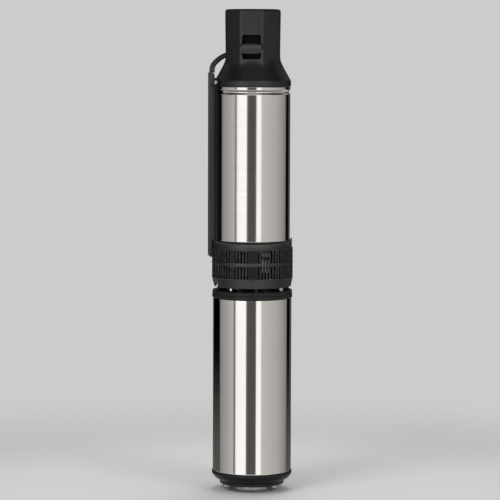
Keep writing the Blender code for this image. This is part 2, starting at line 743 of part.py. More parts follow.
def suction_bracket():
    hole = PILOT_RADIUS + SEAT_GAP
    disc = [
        (hole, FLANGE_Z),
        (FLANGE_RADIUS, FLANGE_Z),
        (FLANGE_RADIUS, FLANGE_TOP_Z - 1.2 * MM),
        (FLANGE_RADIUS - 1.2 * MM, FLANGE_TOP_Z),
        (hole, FLANGE_TOP_Z),
    ]
    bracket = add("suction_bracket", lathe(disc, FINE), PLASTIC)
    reach = STRAINER_RING_RADIUS - STRAINER_WALL - SEAT_GAP
    crown = [
        (EYE_RADIUS, STAGE_Z - SEAT_GAP - PLATE),
        (EYE_RADIUS + 12 * MM, STAGE_Z - SEAT_GAP - PLATE),
        (reach - 5 * MM, RING_Z),
        (reach, RING_Z),
        (reach, PUMP_SHELL_Z - SEAT_GAP),
        (PUMP_FIT, PUMP_SHELL_Z - SEAT_GAP),
        (PUMP_FIT, STAGE_Z - SEAT_GAP),
        (EYE_RADIUS, STAGE_Z - SEAT_GAP),
    ]
    fuse(bracket, add("bracket_crown", lathe(crown, FINE)))
    for number, azimuth in enumerate(rib_azimuths(), 1):
        fuse(bracket, bracket_rib(number, azimuth, reach))
    for number, azimuth in enumerate(STUD_AZIMUTHS, 1):
        hole = rod(STUD_RADIUS + SEAT_GAP, FLANGE_Z - 1 * MM, FLANGE_TOP_Z + 1 * MM, 12)
        turned_to(hole, azimuth, STUD_CIRCLE, 0, along_radius=False)
        cut(bracket, add(f"flange_hole_{number}", hole))
    notch = rod(LEAD_DIAMETER / 2 + 2.2 * MM, FLANGE_Z - 1 * MM, FLANGE_TOP_Z + 1 * MM, 12)
    turned_to(notch, GUARD_AZIMUTH, connector_circle(), 0, along_radius=False)
    cut(bracket, add("connector_notch", notch))
    groove = rod(LEAD_DIAMETER / 2 + 1.2 * MM, RING_Z - 2 * MM, PUMP_SHELL_Z + 1 * MM, 12)
    turned_to(groove, GUARD_AZIMUTH, channel_radius(), 0, along_radius=False)
    cut(bracket, add("lead_groove", groove))


def bracket_rib(number, azimuth, reach):
    """An upright plate: its outer edge carries the strainer."""
    half = 1.8 * MM
    inner = PILOT_RADIUS + 2.5 * MM
    low_reach = STRAINER_BORE - STRAINER_DRAFT - 0.7 * MM
    wide = STRAINER_BORE - SEAT_GAP - 0.2 * MM
    shoulder = STRAINER_Z + 12 * MM
    outline = [
        (inner, FLANGE_TOP_Z - 1 * MM),
        (low_reach, FLANGE_TOP_Z - 1 * MM),
        (low_reach, shoulder - 3 * MM),
        (wide, shoulder),
        (wide, RING_Z - 1 * MM),
        (reach - 1 * MM, RING_Z + 2 * MM),
        (reach - 7 * MM, RING_Z + 2 * MM),
        (inner + 3 * MM, RING_Z - 12 * MM),
    ]
    bm = bmesh.new()
    side = bm.faces.new([bm.verts.new((r, -half, z)) for r, z in outline])
    moved = bmesh.ops.extrude_face_region(bm, geom=[side])["geom"]
    for corner in (item for item in moved if isinstance(item, bmesh.types.BMVert)):
        corner.co.y = half
    bmesh.ops.rotate(bm, verts=bm.verts, matrix=Matrix.Rotation(math.radians(azimuth - 90), 3, "Z"))
    return add(f"bracket_rib_{number}", bm)


def slot_azimuths():
    """The slots on both sides of the front pillar, with one left out for each narrow pillar."""
    left = [-(FIRST_SLOT + SLOT_PITCH * k) for k in range(SLOTS_PER_SIDE) if k % 6 != 5]
    right = [FIRST_SLOT + SLOT_PITCH * k for k in range(SLOTS_PER_SIDE) if k % 6 or not k]
    return sorted(turn % 360 for turn in left + right)


def slot_levels():
    """The strainer's lower edge, then the bottom and top of each of its two rows of slots."""
    top = STRAINER_TOP - STRAINER_RING_HEIGHT
    rib = top - SLOT_HEIGHT
    lower = rib - SLOT_RIB
    return [STRAINER_Z, lower - SLOT_HEIGHT, lower, rib, top]


def intake_strainer():
    """One wall on a grid of azimuths and heights, with the slot cells left open.

    Where the lead leaves, under the guard, the wall is open to its top edge.
    """
    half = math.degrees(SLOT_WIDTH / 2 / STRAINER_RADIUS)
    lead_half = math.degrees((LEAD_DIAMETER / 2 + 1.2 * MM) / STRAINER_RADIUS)
    lead = (GUARD_AZIMUTH - STRAINER_TURN) % 360
    spans = [(turn - half, turn + half, "slot") for turn in slot_azimuths()]
    clear = lead_half + half + 1.2
    spans = [span for span in spans if abs((span[0] + half - lead + 180) % 360 - 180) > clear]
    spans.append((lead - lead_half, lead + lead_half, "lead"))
    spans.sort()
    turns, kinds = [], []
    for number, (start, end, kind) in enumerate(spans):
        following = spans[(number + 1) % len(spans)][0] % 360
        turns += [start, end]
        kinds += [kind, "wall"]
        wide = (following - end) % 360
        extra = int(wide // 8)
        turns += [end + wide * (k + 1) / (extra + 1) for k in range(extra)]
        kinds += ["wall"] * extra
    narrow = STRAINER_RING_RADIUS - STRAINER_WALL
    slot_edges = slot_levels()
    ring_z = slot_edges[4]
    levels = [
        (STRAINER_RADIUS - STRAINER_DRAFT, STRAINER_BORE - STRAINER_DRAFT, STRAINER_Z, STRAINER_Z),
        *((STRAINER_RADIUS, STRAINER_BORE, z, z) for z in slot_edges[1:]),
        (STRAINER_RING_RADIUS, narrow, ring_z + 1.4 * MM, ring_z + 2.2 * MM),
        (STRAINER_RING_RADIUS - 0.4 * MM, narrow, STRAINER_TOP, STRAINER_TOP),
    ]
    slot_rows = (1, 3)
    lead_rows = range(3, len(levels) - 1)
    bm = bmesh.new()
    outer, inner = [], []
    for wide, bore, outer_z, inner_z in levels:
        outer.append([bm.verts.new(at(STRAINER_TURN + turn, wide, outer_z)) for turn in turns])
        inner.append([bm.verts.new(at(STRAINER_TURN + turn, bore, inner_z)) for turn in turns])
    count = len(turns)
    last = len(levels) - 2

    def solid(row, column):
        if row < 0 or row > last:
            return False
        kind = kinds[column % count]
        if kind == "slot":
            return row not in slot_rows
        return kind == "wall" or row not in lead_rows

    for row in range(last + 1):
        for column in range(count):
            if not solid(row, column):
                continue
            nxt = (column + 1) % count
            low_out, high_out = outer[row], outer[row + 1]
            low_in, high_in = inner[row], inner[row + 1]
            bm.faces.new((low_out[column], low_out[nxt], high_out[nxt], high_out[column]))
            bm.faces.new((low_in[column], high_in[column], high_in[nxt], low_in[nxt]))
            if not solid(row - 1, column):
                bm.faces.new((low_out[column], low_in[column], low_in[nxt], low_out[nxt]))
            if not solid(row + 1, column):
                bm.faces.new((high_out[column], high_out[nxt], high_in[nxt], high_in[column]))
            if not solid(row, column - 1):
                bm.faces.new((low_out[column], high_out[column], high_in[column], low_in[column]))
            if not solid(row, column + 1):
                bm.faces.new((low_out[nxt], low_in[nxt], high_in[nxt], high_out[nxt]))
    stray = [corner for corner in bm.verts if not corner.link_faces]
    bmesh.ops.delete(bm, geom=stray, context="VERTS")
    thin_out_plain_rows(bm, [outer, inner], turns, kinds)
    add("intake_strainer", bm, PLASTIC)


def thin_out_plain_rows(bm, walls, turns, kinds):
    """Joins neighbouring faces in the rows without slots, where so many columns aren't needed."""
    count = len(kinds)
    last = len(walls[0]) - 1
    widest = 10.5
    kept = {0}
    latest = turns[0]
    for column in range(1, count):
        by_lead = "lead" in (kinds[column], kinds[column - 1], kinds[(column + 1) % count])
        following = turns[column + 1] if column + 1 < count else turns[0] + 360
        if by_lead or following - latest > widest:
            kept.add(column)
            latest = turns[column]
    extra = []
    for column in range(count):
        if column in kept:
            continue
        for row in (0, last - 2, last - 1):
            for wall in walls:
                extra.append(bm.edges.get((wall[row][column], wall[row + 1][column])))
        for row in (0, last):
            extra.append(bm.edges.get((walls[0][row][column], walls[1][row][column])))
    extra = [edge for edge in extra if edge]
    bmesh.ops.dissolve_edges(bm, edges=extra, use_verts=True)


def pump_shell():
    """A thin tube with a groove rolled in near its top, which holds the discharge head."""
    half = ROLL_WIDTH / 2
    outer = [
        (PUMP_SHELL_RADIUS, PUMP_SHELL_Z),
        (PUMP_SHELL_RADIUS, ROLL_Z - half),
        (PUMP_SHELL_RADIUS - ROLL_DEPTH, ROLL_Z - half / 3),
        (PUMP_SHELL_RADIUS - ROLL_DEPTH, ROLL_Z + half / 3),
        (PUMP_SHELL_RADIUS, ROLL_Z + half),
        (PUMP_SHELL_RADIUS, PUMP_SHELL_TOP),
    ]
    inner = [(r - PUMP_SHELL_WALL, z) for r, z in reversed(outer)]
    add("pump_shell", lathe(outer + inner, FINE), STEEL)


def upper_bearing_spider():
    low = STACK_TOP
    outer = add(
        "upper_bearing_spider",
        lathe(ring(PUMP_FIT - 4 * MM, PUMP_FIT, low, SKIRT_Z - SEAT_GAP), MEDIUM),
        PLASTIC,
    )
    bore = HUB_RADIUS + 0.9 * MM + RUN_GAP + BUSH_WALL - 1 * MM + SEAT_GAP
    hub = lathe(ring(bore, bore + 3 * MM, sleeve_z(), sleeve_z() + BUSH_LENGTH), COARSE)
    arms = bmesh.new()
    for i in range(3):
        bmesh.ops.create_cube(arms, size=1, matrix=arm_frame(i, bore))
    arms = add("spider_arms", arms)
    fuse(outer, arms)
    fuse(outer, add("spider_hub", hub))
    sleeve_run = HUB_RADIUS + 0.9 * MM + RUN_GAP
    outline = ring(sleeve_run, bore - SEAT_GAP, sleeve_z(), sleeve_z() + BUSH_LENGTH)
    add("upper_bearing_bush", lathe(outline, COARSE), RUBBER)


def arm_frame(number, bore):
    inner = bore + 1.5 * MM
    reach = PUMP_FIT - 2 * MM - inner
    turn = Matrix.Rotation(math.tau * number / 3, 4, "Z")
    middle = Matrix.Translation((inner + reach / 2, 0, sleeve_z() + BUSH_LENGTH / 2))
    size = Matrix.Diagonal((reach, 3.5 * MM, BUSH_LENGTH - 5 * MM, 1))
    return turn @ middle @ size


# Discharge head and check valve
def discharge_head():
    half_roll = ROLL_WIDTH / 2 + SEAT_GAP
    skirt = PUMP_BORE - RUN_GAP
    seal_z = seal_centre()
    body = add(
        "discharge_head",
        lathe(
            [
                (0, SKIRT_Z),
                (skirt, SKIRT_Z),
                (skirt, seal_z - 1.4 * MM),
                (skirt - 2.2 * MM, seal_z - 1.4 * MM),
                (skirt - 2.2 * MM, seal_z + 1.4 * MM),
                (skirt, seal_z + 1.4 * MM),
                (skirt, ROLL_Z - half_roll),
                (skirt - ROLL_DEPTH, ROLL_Z - half_roll / 3),
                (skirt - ROLL_DEPTH, ROLL_Z + half_roll / 3),
                (skirt, ROLL_Z + half_roll),
                (skirt, BAND_Z),
                (BAND_RADIUS, BAND_Z),
                (BAND_RADIUS, BAND_TOP - 0.8 * MM),
                (BAND_RADIUS - 0.6 * MM, BAND_TOP),
                (CONE_TOP_RADIUS, CONE_TOP),
                (CONE_TOP_RADIUS - 4 * MM, CONE_TOP + 1 * MM),
                (0, CONE_TOP + 1 * MM),
            ],
            FINE,
            closed=False,
        ),
        PLASTIC,
    )
    fuse(body, octagonal_neck())
    cut(body, add("water_way", water_way()))
    window_top = HEAD_TOP - WINDOW_DROP
    face = neck_face()
    pocket = rounded_box(WINDOW_WIDTH, WINDOW_HEIGHT, WINDOW_CORNER, WINDOW_DEPTH + 3 * MM)
    middle = window_top - WINDOW_HEIGHT / 2
    turned_to(pocket, NECK_TURN, face - WINDOW_DEPTH, middle)
    cut(body, add("rope_window", pocket))
    for side in (-1, 1):
        slit = rounded_box(4.5 * MM, 3.2 * MM, 0.8 * MM, 6 * MM)
        shift = Matrix.Translation((side * WINDOW_WIDTH / 2, 0, 0))
        bmesh.ops.transform(slit, matrix=shift, verts=slit.verts)
        turned_to(slit, NECK_TURN, face - 3.2 * MM, bar_middle() + 3.4 * MM)
        cut(body, add("bar_slit_right" if side > 0 else "bar_slit_left", slit))
    fuse(body, rope_bar())
    hole = rod(1.5 * MM + SEAT_GAP, 0, 12 * MM, 12)
    turned_to(hole, GUARD_AZIMUTH + GUARD_SCREW_TURN, BAND_RADIUS - 8 * MM, screw_z())
    cut(body, add("guard_screw_hole", hole))


def neck_face():
    """How far the flat of the neck stands from the axis at the window's height."""
    share = (WINDOW_DROP + WINDOW_HEIGHT / 2) / NECK_HEIGHT
    return NECK_FLATS / 2 - NECK_DRAFT * share


def octagonal_neck():
    """Eight flats with a slight draft, and a chamfer round the top."""
    root = CONE_TOP - 12 * MM
    bm = bmesh.new()
    shrink = NECK_CHAMFER * 0.8
    rings = (
        (NECK_FLATS - 2 * NECK_DRAFT, root),
        (NECK_FLATS, HEAD_TOP - NECK_CHAMFER),
        (NECK_FLATS - 2 * shrink, HEAD_TOP),
    )
    loops = []
    for flats, z in rings:
        outline = polygon(8, flats, math.radians(NECK_TURN))
        loops.append([bm.verts.new((x, y, z)) for x, y in outline])
    for low, high in zip(loops, loops[1:]):
        for i in range(8):
            j = (i + 1) % 8
            bm.faces.new((low[i], low[j], high[j], high[i]))
    bm.faces.new(loops[0][::-1])
    bm.faces.new(loops[-1])
    uprights = [
        edge for edge in bm.edges if abs(edge.verts[0].co.z - edge.verts[1].co.z) > NECK_CHAMFER / 2
    ]
    bmesh.ops.bevel(bm, geom=uprights, offset=2.6 * MM, segments=2, profile=0.5, affect="EDGES")
    return add("octagonal_neck", bm)


def water_way():
    """The inside of the head: outlet thread, bore, valve chamber and the wide entry."""
    entry = PUMP_FIT - 5 * MM
    return lathe(
        [
            (0, HEAD_TOP + 1 * MM),
            (THREAD_RADIUS + 1.6 * MM, HEAD_TOP + 1 * MM),
            (THREAD_RADIUS, HEAD_TOP - 1.2 * MM),
            (THREAD_RADIUS, HEAD_TOP - THREAD_DEPTH),
            (BORE_RADIUS, HEAD_TOP - THREAD_DEPTH - 1 * MM),
            (BORE_RADIUS, GUIDE_SHOULDER),
            (CHAMBER_RADIUS, GUIDE_SHOULDER),
            (CHAMBER_RADIUS, SEAT_SHOULDER),
            (seat_reach() + SEAT_GAP, SEAT_SHOULDER),
            (seat_reach() + SEAT_GAP, SEAT_SHOULDER - 5 * MM),
            (entry, SKIRT_Z - 1 * MM),
            (0, SKIRT_Z - 1 * MM),
        ],
        MEDIUM,
        closed=False,
    )


def seat_reach():
    return CHAMBER_RADIUS + 8 * MM


def seal_centre():
    return SKIRT_Z + 2.8 * MM


def screw_z():
    return BAND_Z + GUARD_SCREW_RISE


def bar_middle():
    return HEAD_TOP - WINDOW_DROP - BAR_DROP - BAR_HEIGHT / 2


def rounded_box(width, height, corner, depth):
    """A block from z = 0 to depth, with its four long edges rounded."""
    half_x, half_y = width / 2, height / 2
    bm = prism([(-half_x, -half_y), (half_x, -half_y), (half_x, half_y), (-half_x, half_y)], 0, depth)
    uprights = [edge for edge in bm.edges if abs(edge.verts[0].co.z - edge.verts[1].co.z) > depth / 2]
    bmesh.ops.bevel(bm, geom=uprights, offset=corner, segments=3, profile=0.5, affect="EDGES")
    return bm


def rope_bar():
    """The barrel that the safety rope is tied to: its front bulges out nearly to the neck's face."""
    flat = neck_face() - 0.3 * MM
    back = flat - BAR_THICKNESS
    half = BAR_HEIGHT / 2
    edge = flat - 3.6 * MM
    reach = WINDOW_WIDTH / 2 + 1.5 * MM
    steps = 4
    front = []
    for i in range(steps + 1):
        share = 2 * i / steps - 1
        front.append((edge + (flat - edge) * (1 - share**2), share * half))
    outline = front + [(back, half - 1.5 * MM), (back, -half + 1.5 * MM)]
    bm = bmesh.new()
    side = bm.faces.new([bm.verts.new((-reach, -out, bar_middle() + z)) for out, z in outline])
    moved = bmesh.ops.extrude_face_region(bm, geom=[side])["geom"]
    for corner in (item for item in moved if isinstance(item, bmesh.types.BMVert)):
        corner.co.x = reach
    bmesh.ops.rotate(bm, verts=bm.verts, matrix=Matrix.Rotation(math.radians(NECK_TURN), 3, "Z"))
    return add("rope_bar_shape", bm)


def head_seal():
    middle = PUMP_BORE - 1.28 * MM
    outline = []
    for i in range(6):
        turn = math.tau * (i + 0.5) / 6
        outline.append((middle + 1.0 * MM * math.cos(turn), seal_centre() + 1.0 * MM * math.sin(turn)))
    add("head_seal", lathe(outline, FINE), RUBBER)


def valve_seat():
    top = SEAT_SHOULDER - SEAT_GAP
    outline = [
        (THROAT_RADIUS, top - 4.5 * MM),
        (seat_reach(), top - 4.5 * MM),
        (seat_reach(), top),
        (CHAMBER_RADIUS - 1 * MM, top),
        (THROAT_RADIUS + 1.5 * MM, top),
        (THROAT_RADIUS, top - 1.2 * MM),
    ]
    add("valve_seat", lathe(outline, MEDIUM), CREAM)


def check_valve():
    """The poppet on its lift axis, its spring, and the guide that both work against."""
    seat_top = SEAT_SHOULDER
    lift = bpy.data.objects.new("poppet_lift", None)
    bpy.context.scene.collection.objects.link(lift)
    lift.location = (0, 0, seat_top)
    disc = 3.4 * MM
    guide_top = GUIDE_SHOULDER - SEAT_GAP
    stem_top = guide_top - seat_top + VALVE_LIFT / 2
    outline = [
        (0, -3 * MM),
        (THROAT_RADIUS - 4 * MM, -2.6 * MM),
        (THROAT_RADIUS - 1.2 * MM, 0),
        (POPPET_RADIUS, 0),
        (POPPET_RADIUS, 1.6 * MM),
        (SPRING_RADIUS + 2 * MM, disc),
        (STEM_RADIUS, disc),
        (STEM_RADIUS, stem_top),
        (0, stem_top + 1 * MM),
    ]
    add("check_valve_poppet", lathe(outline, COARSE, closed=False), CREAM, lift)
    hub_z = guide_top - 5 * MM
    hub = STEM_RADIUS + RUN_GAP
    outer = CHAMBER_RADIUS - SEAT_GAP
    cage = add("valve_guide", lathe(ring(outer - 2.2 * MM, outer, hub_z, guide_top), MEDIUM), PLASTIC)
    spokes = bmesh.new()
    for i in range(3):
        turn = Matrix.Rotation(math.tau * i / 3, 4, "Z")
        start = hub + 2 * MM
        reach = outer - 1 * MM - start
        middle = Matrix.Translation((start + reach / 2, 0, hub_z + 2.5 * MM))
        size = Matrix.Diagonal((reach, 2.4 * MM, 4 * MM, 1))
        bmesh.ops.create_cube(spokes, size=1, matrix=turn @ middle @ size)
    spokes = add("guide_spokes", spokes)
    fuse(cage, spokes)
    fuse(cage, add("guide_hub", lathe(ring(hub, hub + 4.6 * MM, hub_z, guide_top), SMALL)))
    valve_spring(seat_top + disc + SEAT_GAP, hub_z - SEAT_GAP)


def valve_spring(low, high):
    """A round wire wound up from the poppet to the guide."""
    curve = bpy.data.curves.new("check_valve_spring", "CURVE")
    curve.dimensions = "3D"
    curve.bevel_depth = SPRING_WIRE
    curve.bevel_resolution = 0
    curve.use_fill_caps = True
    per_turn = 10
    count = SPRING_TURNS * per_turn + 1
    wire = curve.splines.new("POLY")
    wire.points.add(count - 1)
    for i in range(count):
        turn = math.tau * i / per_turn
        z = low + SPRING_WIRE + (high - low - 2 * SPRING_WIRE) * i / (count - 1)
        place = (SPRING_RADIUS * math.cos(turn), SPRING_RADIUS * math.sin(turn), z, 1)
        wire.points[i].co = place
    made = bpy.data.objects.new("check_valve_spring", curve)
    curve.materials.append(material("check_valve_spring", BRIGHT))
    bpy.context.scene.collection.objects.link(made)


# Cable guard and lead
def channel_half():
    """Half the width of the channel inside the guard."""
    return LEAD_DIAMETER / 2 + 0.6 * MM


def guard_outline():
    """The guard's section, with the channel's crown towards +X and its flanges on the shell."""
    inside = channel_half()
    outside = inside + GUARD_WALL
    seat = PUMP_SHELL_RADIUS + SEAT_GAP
    back = seat + GUARD_FLANGE
    crown = GUARD_REACH - GUARD_WALL
    corner = 1.4 * MM
    spread = math.radians(GUARD_SPREAD)

    def arc(radius, near, steps=3):
        first = math.asin(near / radius)
        turns = [first + (spread - first) * i / steps for i in range(steps + 1)]
        return [(radius * math.cos(turn), radius * math.sin(turn)) for turn in turns]

    outer = arc(back, outside)[::-1]
    outer += [(GUARD_REACH - corner, outside), (GUARD_REACH - 0.4 * corner, outside - 0.4 * corner)]
    outer += [(GUARD_REACH, outside - corner)]
    inner = arc(seat, inside)[::-1] + [(crown, inside)]
    upper = outer
    lower = [(x, -y) for x, y in reversed(outer)]
    inner_lower = [(x, -y) for x, y in inner]
    return upper + lower + inner_lower + inner[::-1]


def cable_guard():
    low = STRAINER_TOP - GUARD_BOTTOM_DROP
    high = PUMP_SHELL_TOP + GUARD_TOP_RISE
    bm = prism(guard_outline(), low, high)
    bmesh.ops.rotate(bm, verts=bm.verts, matrix=Matrix.Rotation(math.radians(GUARD_AZIMUTH - 90), 3, "Z"))
    cover = add("cable_guard", bm, PLASTIC)
    clear = PUMP_SHELL_RADIUS + SEAT_GAP / 2
    over_strainer = STRAINER_RADIUS + SEAT_GAP
    over_band = BAND_RADIUS + SEAT_GAP
    neck_z = BAND_TOP + 2.4 * MM
    relief = lathe(
        [
            (0, low - 1 * MM),
            (over_strainer, low - 1 * MM),
            (over_strainer, STRAINER_TOP + SEAT_GAP),
            (clear, STRAINER_TOP + SEAT_GAP),
            (clear, PUMP_SHELL_TOP - 0.2 * MM),
            (over_band, PUMP_SHELL_TOP - 0.2 * MM),
            (over_band, neck_z),
            (over_band + 2.2 * MM, neck_z + 1 * MM),
            (over_band + 2.2 * MM, high + 1 * MM),
            (0, high + 1 * MM),
        ],
        FINE,
        closed=False,
    )
    slope = lathe(
        [
            (GUARD_REACH - 3.4 * MM, low - 1 * MM),
            (GUARD_REACH + 2 * MM, low - 1 * MM),
            (GUARD_REACH + 2 * MM, low + 4 * MM),
        ],
        FINE,
    )
    azimuth = GUARD_AZIMUTH + GUARD_SCREW_TURN
    pad = turned_to(rod(4.4 * MM, 0, GUARD_FLANGE), azimuth, over_band + 0.2 * MM, screw_z())
    fuse(cover, add("screw_pad", pad))
    cut(cover, add("guard_relief", relief))
    cut(cover, add("guard_slope", slope))
    hole = turned_to(rod(1.5 * MM + SEAT_GAP, 0, 8 * MM, 12), azimuth, BAND_RADIUS - 1 * MM, screw_z())
    cut(cover, add("pad_hole", hole))
    under_head = over_band + 0.2 * MM + GUARD_FLANGE + SEAT_GAP
    outline = [
        (0, -8 * MM),
        (1.5 * MM, -7 * MM),
        (1.5 * MM, 0),
        (2.75 * MM, 0),
        (2.75 * MM, 0.9 * MM),
        (1.7 * MM, 1.9 * MM),
        (0, 2.1 * MM),
    ]
    screw = turned_to(lathe(outline, 12, closed=False), azimuth, under_head, screw_z())
    add("guard_screw", screw, BRIGHT)


def smooth_route(points, spacing):
    """Reads points at an even spacing from a smooth curve through the route's own points."""
    fine = []
    ends = [points[0] * 2 - points[1]] + points + [points[-1] * 2 - points[-2]]
    for a, b, c, d in zip(ends, ends[1:], ends[2:], ends[3:]):
        for i in range(24):
            t = i / 24
            bend = (2 * a - 5 * b + 4 * c - d) * t**2 + (3 * b - a - 3 * c + d) * t**3
            fine.append((2 * b + (c - a) * t + bend) / 2)
    fine.append(points[-1])
    length = sum((b - a).length for a, b in zip(fine, fine[1:]))
    count = max(2, round(length / spacing))
    step, walked, out = length / count, 0.0, [fine[0]]
    for a, b in zip(fine, fine[1:]):
        part = (b - a).length
        while len(out) < count and walked + part >= step * len(out) - 1e-9:
            out.append(a.lerp(b, (step * len(out) - walked) / part))
        walked += part
    out.append(fine[-1])
    return out


def lead_tube(name, points, spacing):
    """A tube along the points: its first stretch is straight, so that its end stands square."""
    curve = bpy.data.curves.new(name, "CURVE")
    curve.dimensions = "3D"
    curve.bevel_depth = LEAD_DIAMETER / 2
    curve.bevel_resolution = 2
    curve.use_fill_caps = True
    route = [points[0]] + smooth_route(points[1:], spacing)
    tube = curve.splines.new("POLY")
    tube.points.add(len(route) - 1)
    for point, place in zip(tube.points, route):
        point.co = (*place, 1)
    made = bpy.data.objects.new(name, curve)
    curve.materials.append(material(name, JACKET))
    bpy.context.scene.collection.objects.link(made)


def channel_radius():
    """How far from the axis the lead runs under the guard: just clear of the head's band."""
    return BAND_RADIUS + SEAT_GAP + LEAD_DIAMETER / 2


def lead_exit():
    return at(GUARD_AZIMUTH, channel_radius(), PUMP_SHELL_TOP + GUARD_TOP_RISE)


def lead_connector():
    """The moulded plug that seals the lead in the top of the motor."""
    low = UPPER_RIM_Z - 8 * MM
    high = FLANGE_TOP_Z + 4 * MM
    radius = LEAD_DIAMETER / 2 + 1 * MM
    outline = [
        (0, low),
        (radius, low),
        (radius, high - 2 * MM),
        (LEAD_DIAMETER / 2, high),
        (0, high),
    ]
    place = at(GUARD_AZIMUTH, connector_circle(), 0)
    add("lead_connector", lathe(outline, COARSE, closed=False), RUBBER, place=place)


def held_lead():
    """From the connector, out through the strainer's notch and up under the guard."""
    start = FLANGE_TOP_Z + 4 * MM + SEAT_GAP
    notch = slot_levels()[3]
    near = connector_circle()
    far = channel_radius()
    inside = STRAINER_BORE - LEAD_DIAMETER / 2 - SEAT_GAP
    top = lead_exit().z
    stations = [
        (near, start),
        (near, start + 7 * MM),
        (near + (inside - near) * 0.15, start + 15 * MM),
        (near + (inside - near) * 0.5, (start + notch) / 2 + 7 * MM),
        (inside - 0.8 * MM, notch - 1 * MM),
        (inside + (far - inside) * 0.4, notch + 5 * MM),
        (far - 0.6 * MM, notch + 10 * MM),
        (far, notch + 15 * MM),
        (far, notch + 30 * MM),
        (far, (notch + top) / 2),
        (far, top - 12 * MM),
        (far, top - SEAT_GAP),
    ]
    lead_tube("motor_lead", [at(GUARD_AZIMUTH, r, z) for r, z in stations], 10.5 * MM)


# The lead's route outside the guard, in mm on the pump as it stands: free_lead() stretches it to
# the guard's place and height.
FREE_LEAD = (
    (-49.6, 0.0, 506.5),
    (-49.6, 0.0, 511.0),
    (-48.0, 2.0, 516.4),
    (-43.8, 7.0, 521.5),
    (-38.5, 15.0, 525.8),
    (-32.0, 25.0, 528.6),
    (-23.5, 34.5, 529.0),
    (-14.0, 43.0, 524.0),
    (-6.5, 49.6, 511.0),
    (-2.6, 53.2, 492.0),
    (-0.6, 54.2, 466.0),
    (0.4, 54.2, 430.0),
    (1.0, 54.4, 380.0),
    (1.4, 55.2, 320.0),
    (3.0, 56.0, 260.0),
    (6.5, 56.6, 200.0),
    (12.0, 57.0, 140.0),
    (18.5, 57.2, 92.0),
    (23.0, 56.8, 56.0),
    (24.0, 56.2, 36.0),
    (22.3, 55.3, 20.5),
    (17.0, 54.6, 10.5),
    (8.5, 54.2, 5.0),
    (-2.0, 54.0, 3.5),
)


def free_lead_points():
    wide = channel_radius() / (-FREE_LEAD[0][0])
    rest = FREE_LEAD[-1][2]
    tall = (lead_exit().z + 0.2 * MM - rest * MM) / (FREE_LEAD[0][2] - rest)
    return [Vector((x * wide, y * wide, (z - rest) * tall + rest * MM)) for x, y, z in FREE_LEAD]


def free_lead():
    """Out of the guard, behind the neck, down the back and to the coil on the floor."""
    lead_tube("free_lead", free_lead_points(), 19 * MM)


def lead_coil():
    near_edge = free_lead_points()[-1].y + LEAD_DIAMETER / 2 + 0.5 * MM
    centre = Vector((0, near_edge + COIL_RADIUS + COIL_WIDTH / 2, 0))
    half = COIL_WIDTH / 2
    corner = 2.0 * MM
    inner = COIL_RADIUS - half
    outer = COIL_RADIUS + half
    outline = [
        (inner + corner, 0),
        (outer - corner, 0),
        (outer, corner),
        (outer, COIL_HEIGHT - corner),
        (outer - corner, COIL_HEIGHT),
        (inner + corner, COIL_HEIGHT),
        (inner, COIL_HEIGHT - corner),
        (inner, corner),
    ]
    add("lead_coil", lathe(outline, MEDIUM), JACKET, place=centre)


def build():
    clear_scene()
    turning = bpy.data.objects.new("rotor_axis", None)
    bpy.context.scene.collection.objects.link(turning)
    lower_end_bell()
    bottom_screws()
    motor_shell()
    upper_end_bell()
    motor_studs_and_nuts()
    stator()
    bush("lower_bearing", LOWER_BUSH_Z)
    bush("upper_bearing", UPPER_BUSH_Z)
    thrust_bearing()
    diaphragm()
    diaphragm_cover()
    shaft_seal()
    motor_rotor(turning)
    shaft_coupling(turning)
    pump_shaft(turning)
    suction_bracket()
    intake_strainer()
    for number in range(STAGES):
        impeller(number, turning)
        diffuser(number)
    pump_shell()
    upper_bearing_spider()
    discharge_head()
    head_seal()
    valve_seat()
    check_valve()
    cable_guard()
    lead_connector()
    held_lead()
    free_lead()
    lead_coil()


build()
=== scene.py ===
# %% [markdown]
# # A borehole pump, dressed for its portrait
#
# The pump is a slim column that hangs in a well: a black outlet head on top, a steel tube with the
# impellers, a slotted strainer where the water enters, and a steel motor below. Its solids are
# already made. This file gives them the surfaces that the real one shows: spun steel, satin
# moulded plastic, bright zinc and a flat rubber lead. We load the solids first, because
# every piece that follows is placed on them.

# %% Load the solids
import math

import bmesh
import bpy
from mathutils import Matrix, Vector


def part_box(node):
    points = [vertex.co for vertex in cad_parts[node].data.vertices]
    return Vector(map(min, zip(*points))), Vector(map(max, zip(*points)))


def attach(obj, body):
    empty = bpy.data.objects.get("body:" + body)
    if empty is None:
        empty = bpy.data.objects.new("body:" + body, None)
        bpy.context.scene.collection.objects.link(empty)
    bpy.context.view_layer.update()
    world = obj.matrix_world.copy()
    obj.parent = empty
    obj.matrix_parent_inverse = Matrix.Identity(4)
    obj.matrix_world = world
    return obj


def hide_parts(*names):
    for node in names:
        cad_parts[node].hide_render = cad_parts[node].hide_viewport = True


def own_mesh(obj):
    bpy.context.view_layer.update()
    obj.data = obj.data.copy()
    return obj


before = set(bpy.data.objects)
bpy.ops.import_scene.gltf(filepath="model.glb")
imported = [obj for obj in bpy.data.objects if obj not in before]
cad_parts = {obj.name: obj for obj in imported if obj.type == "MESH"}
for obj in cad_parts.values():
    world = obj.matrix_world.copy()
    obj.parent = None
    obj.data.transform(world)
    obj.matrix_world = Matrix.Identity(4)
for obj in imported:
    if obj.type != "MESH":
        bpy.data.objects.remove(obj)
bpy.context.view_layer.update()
MM = 0.001

# %% [markdown]
# The solids also carry the sizes. Heights and radii below are read off them and written in
# millimetres from the floor and from the pump's axis, so a piece that stands for a solid starts and ends
# where the solid does.

# %% Reading the solids
def span(name):
    """The lowest and the highest point of a solid, in mm."""
    low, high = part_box(name)
    return low.z / MM, high.z / MM


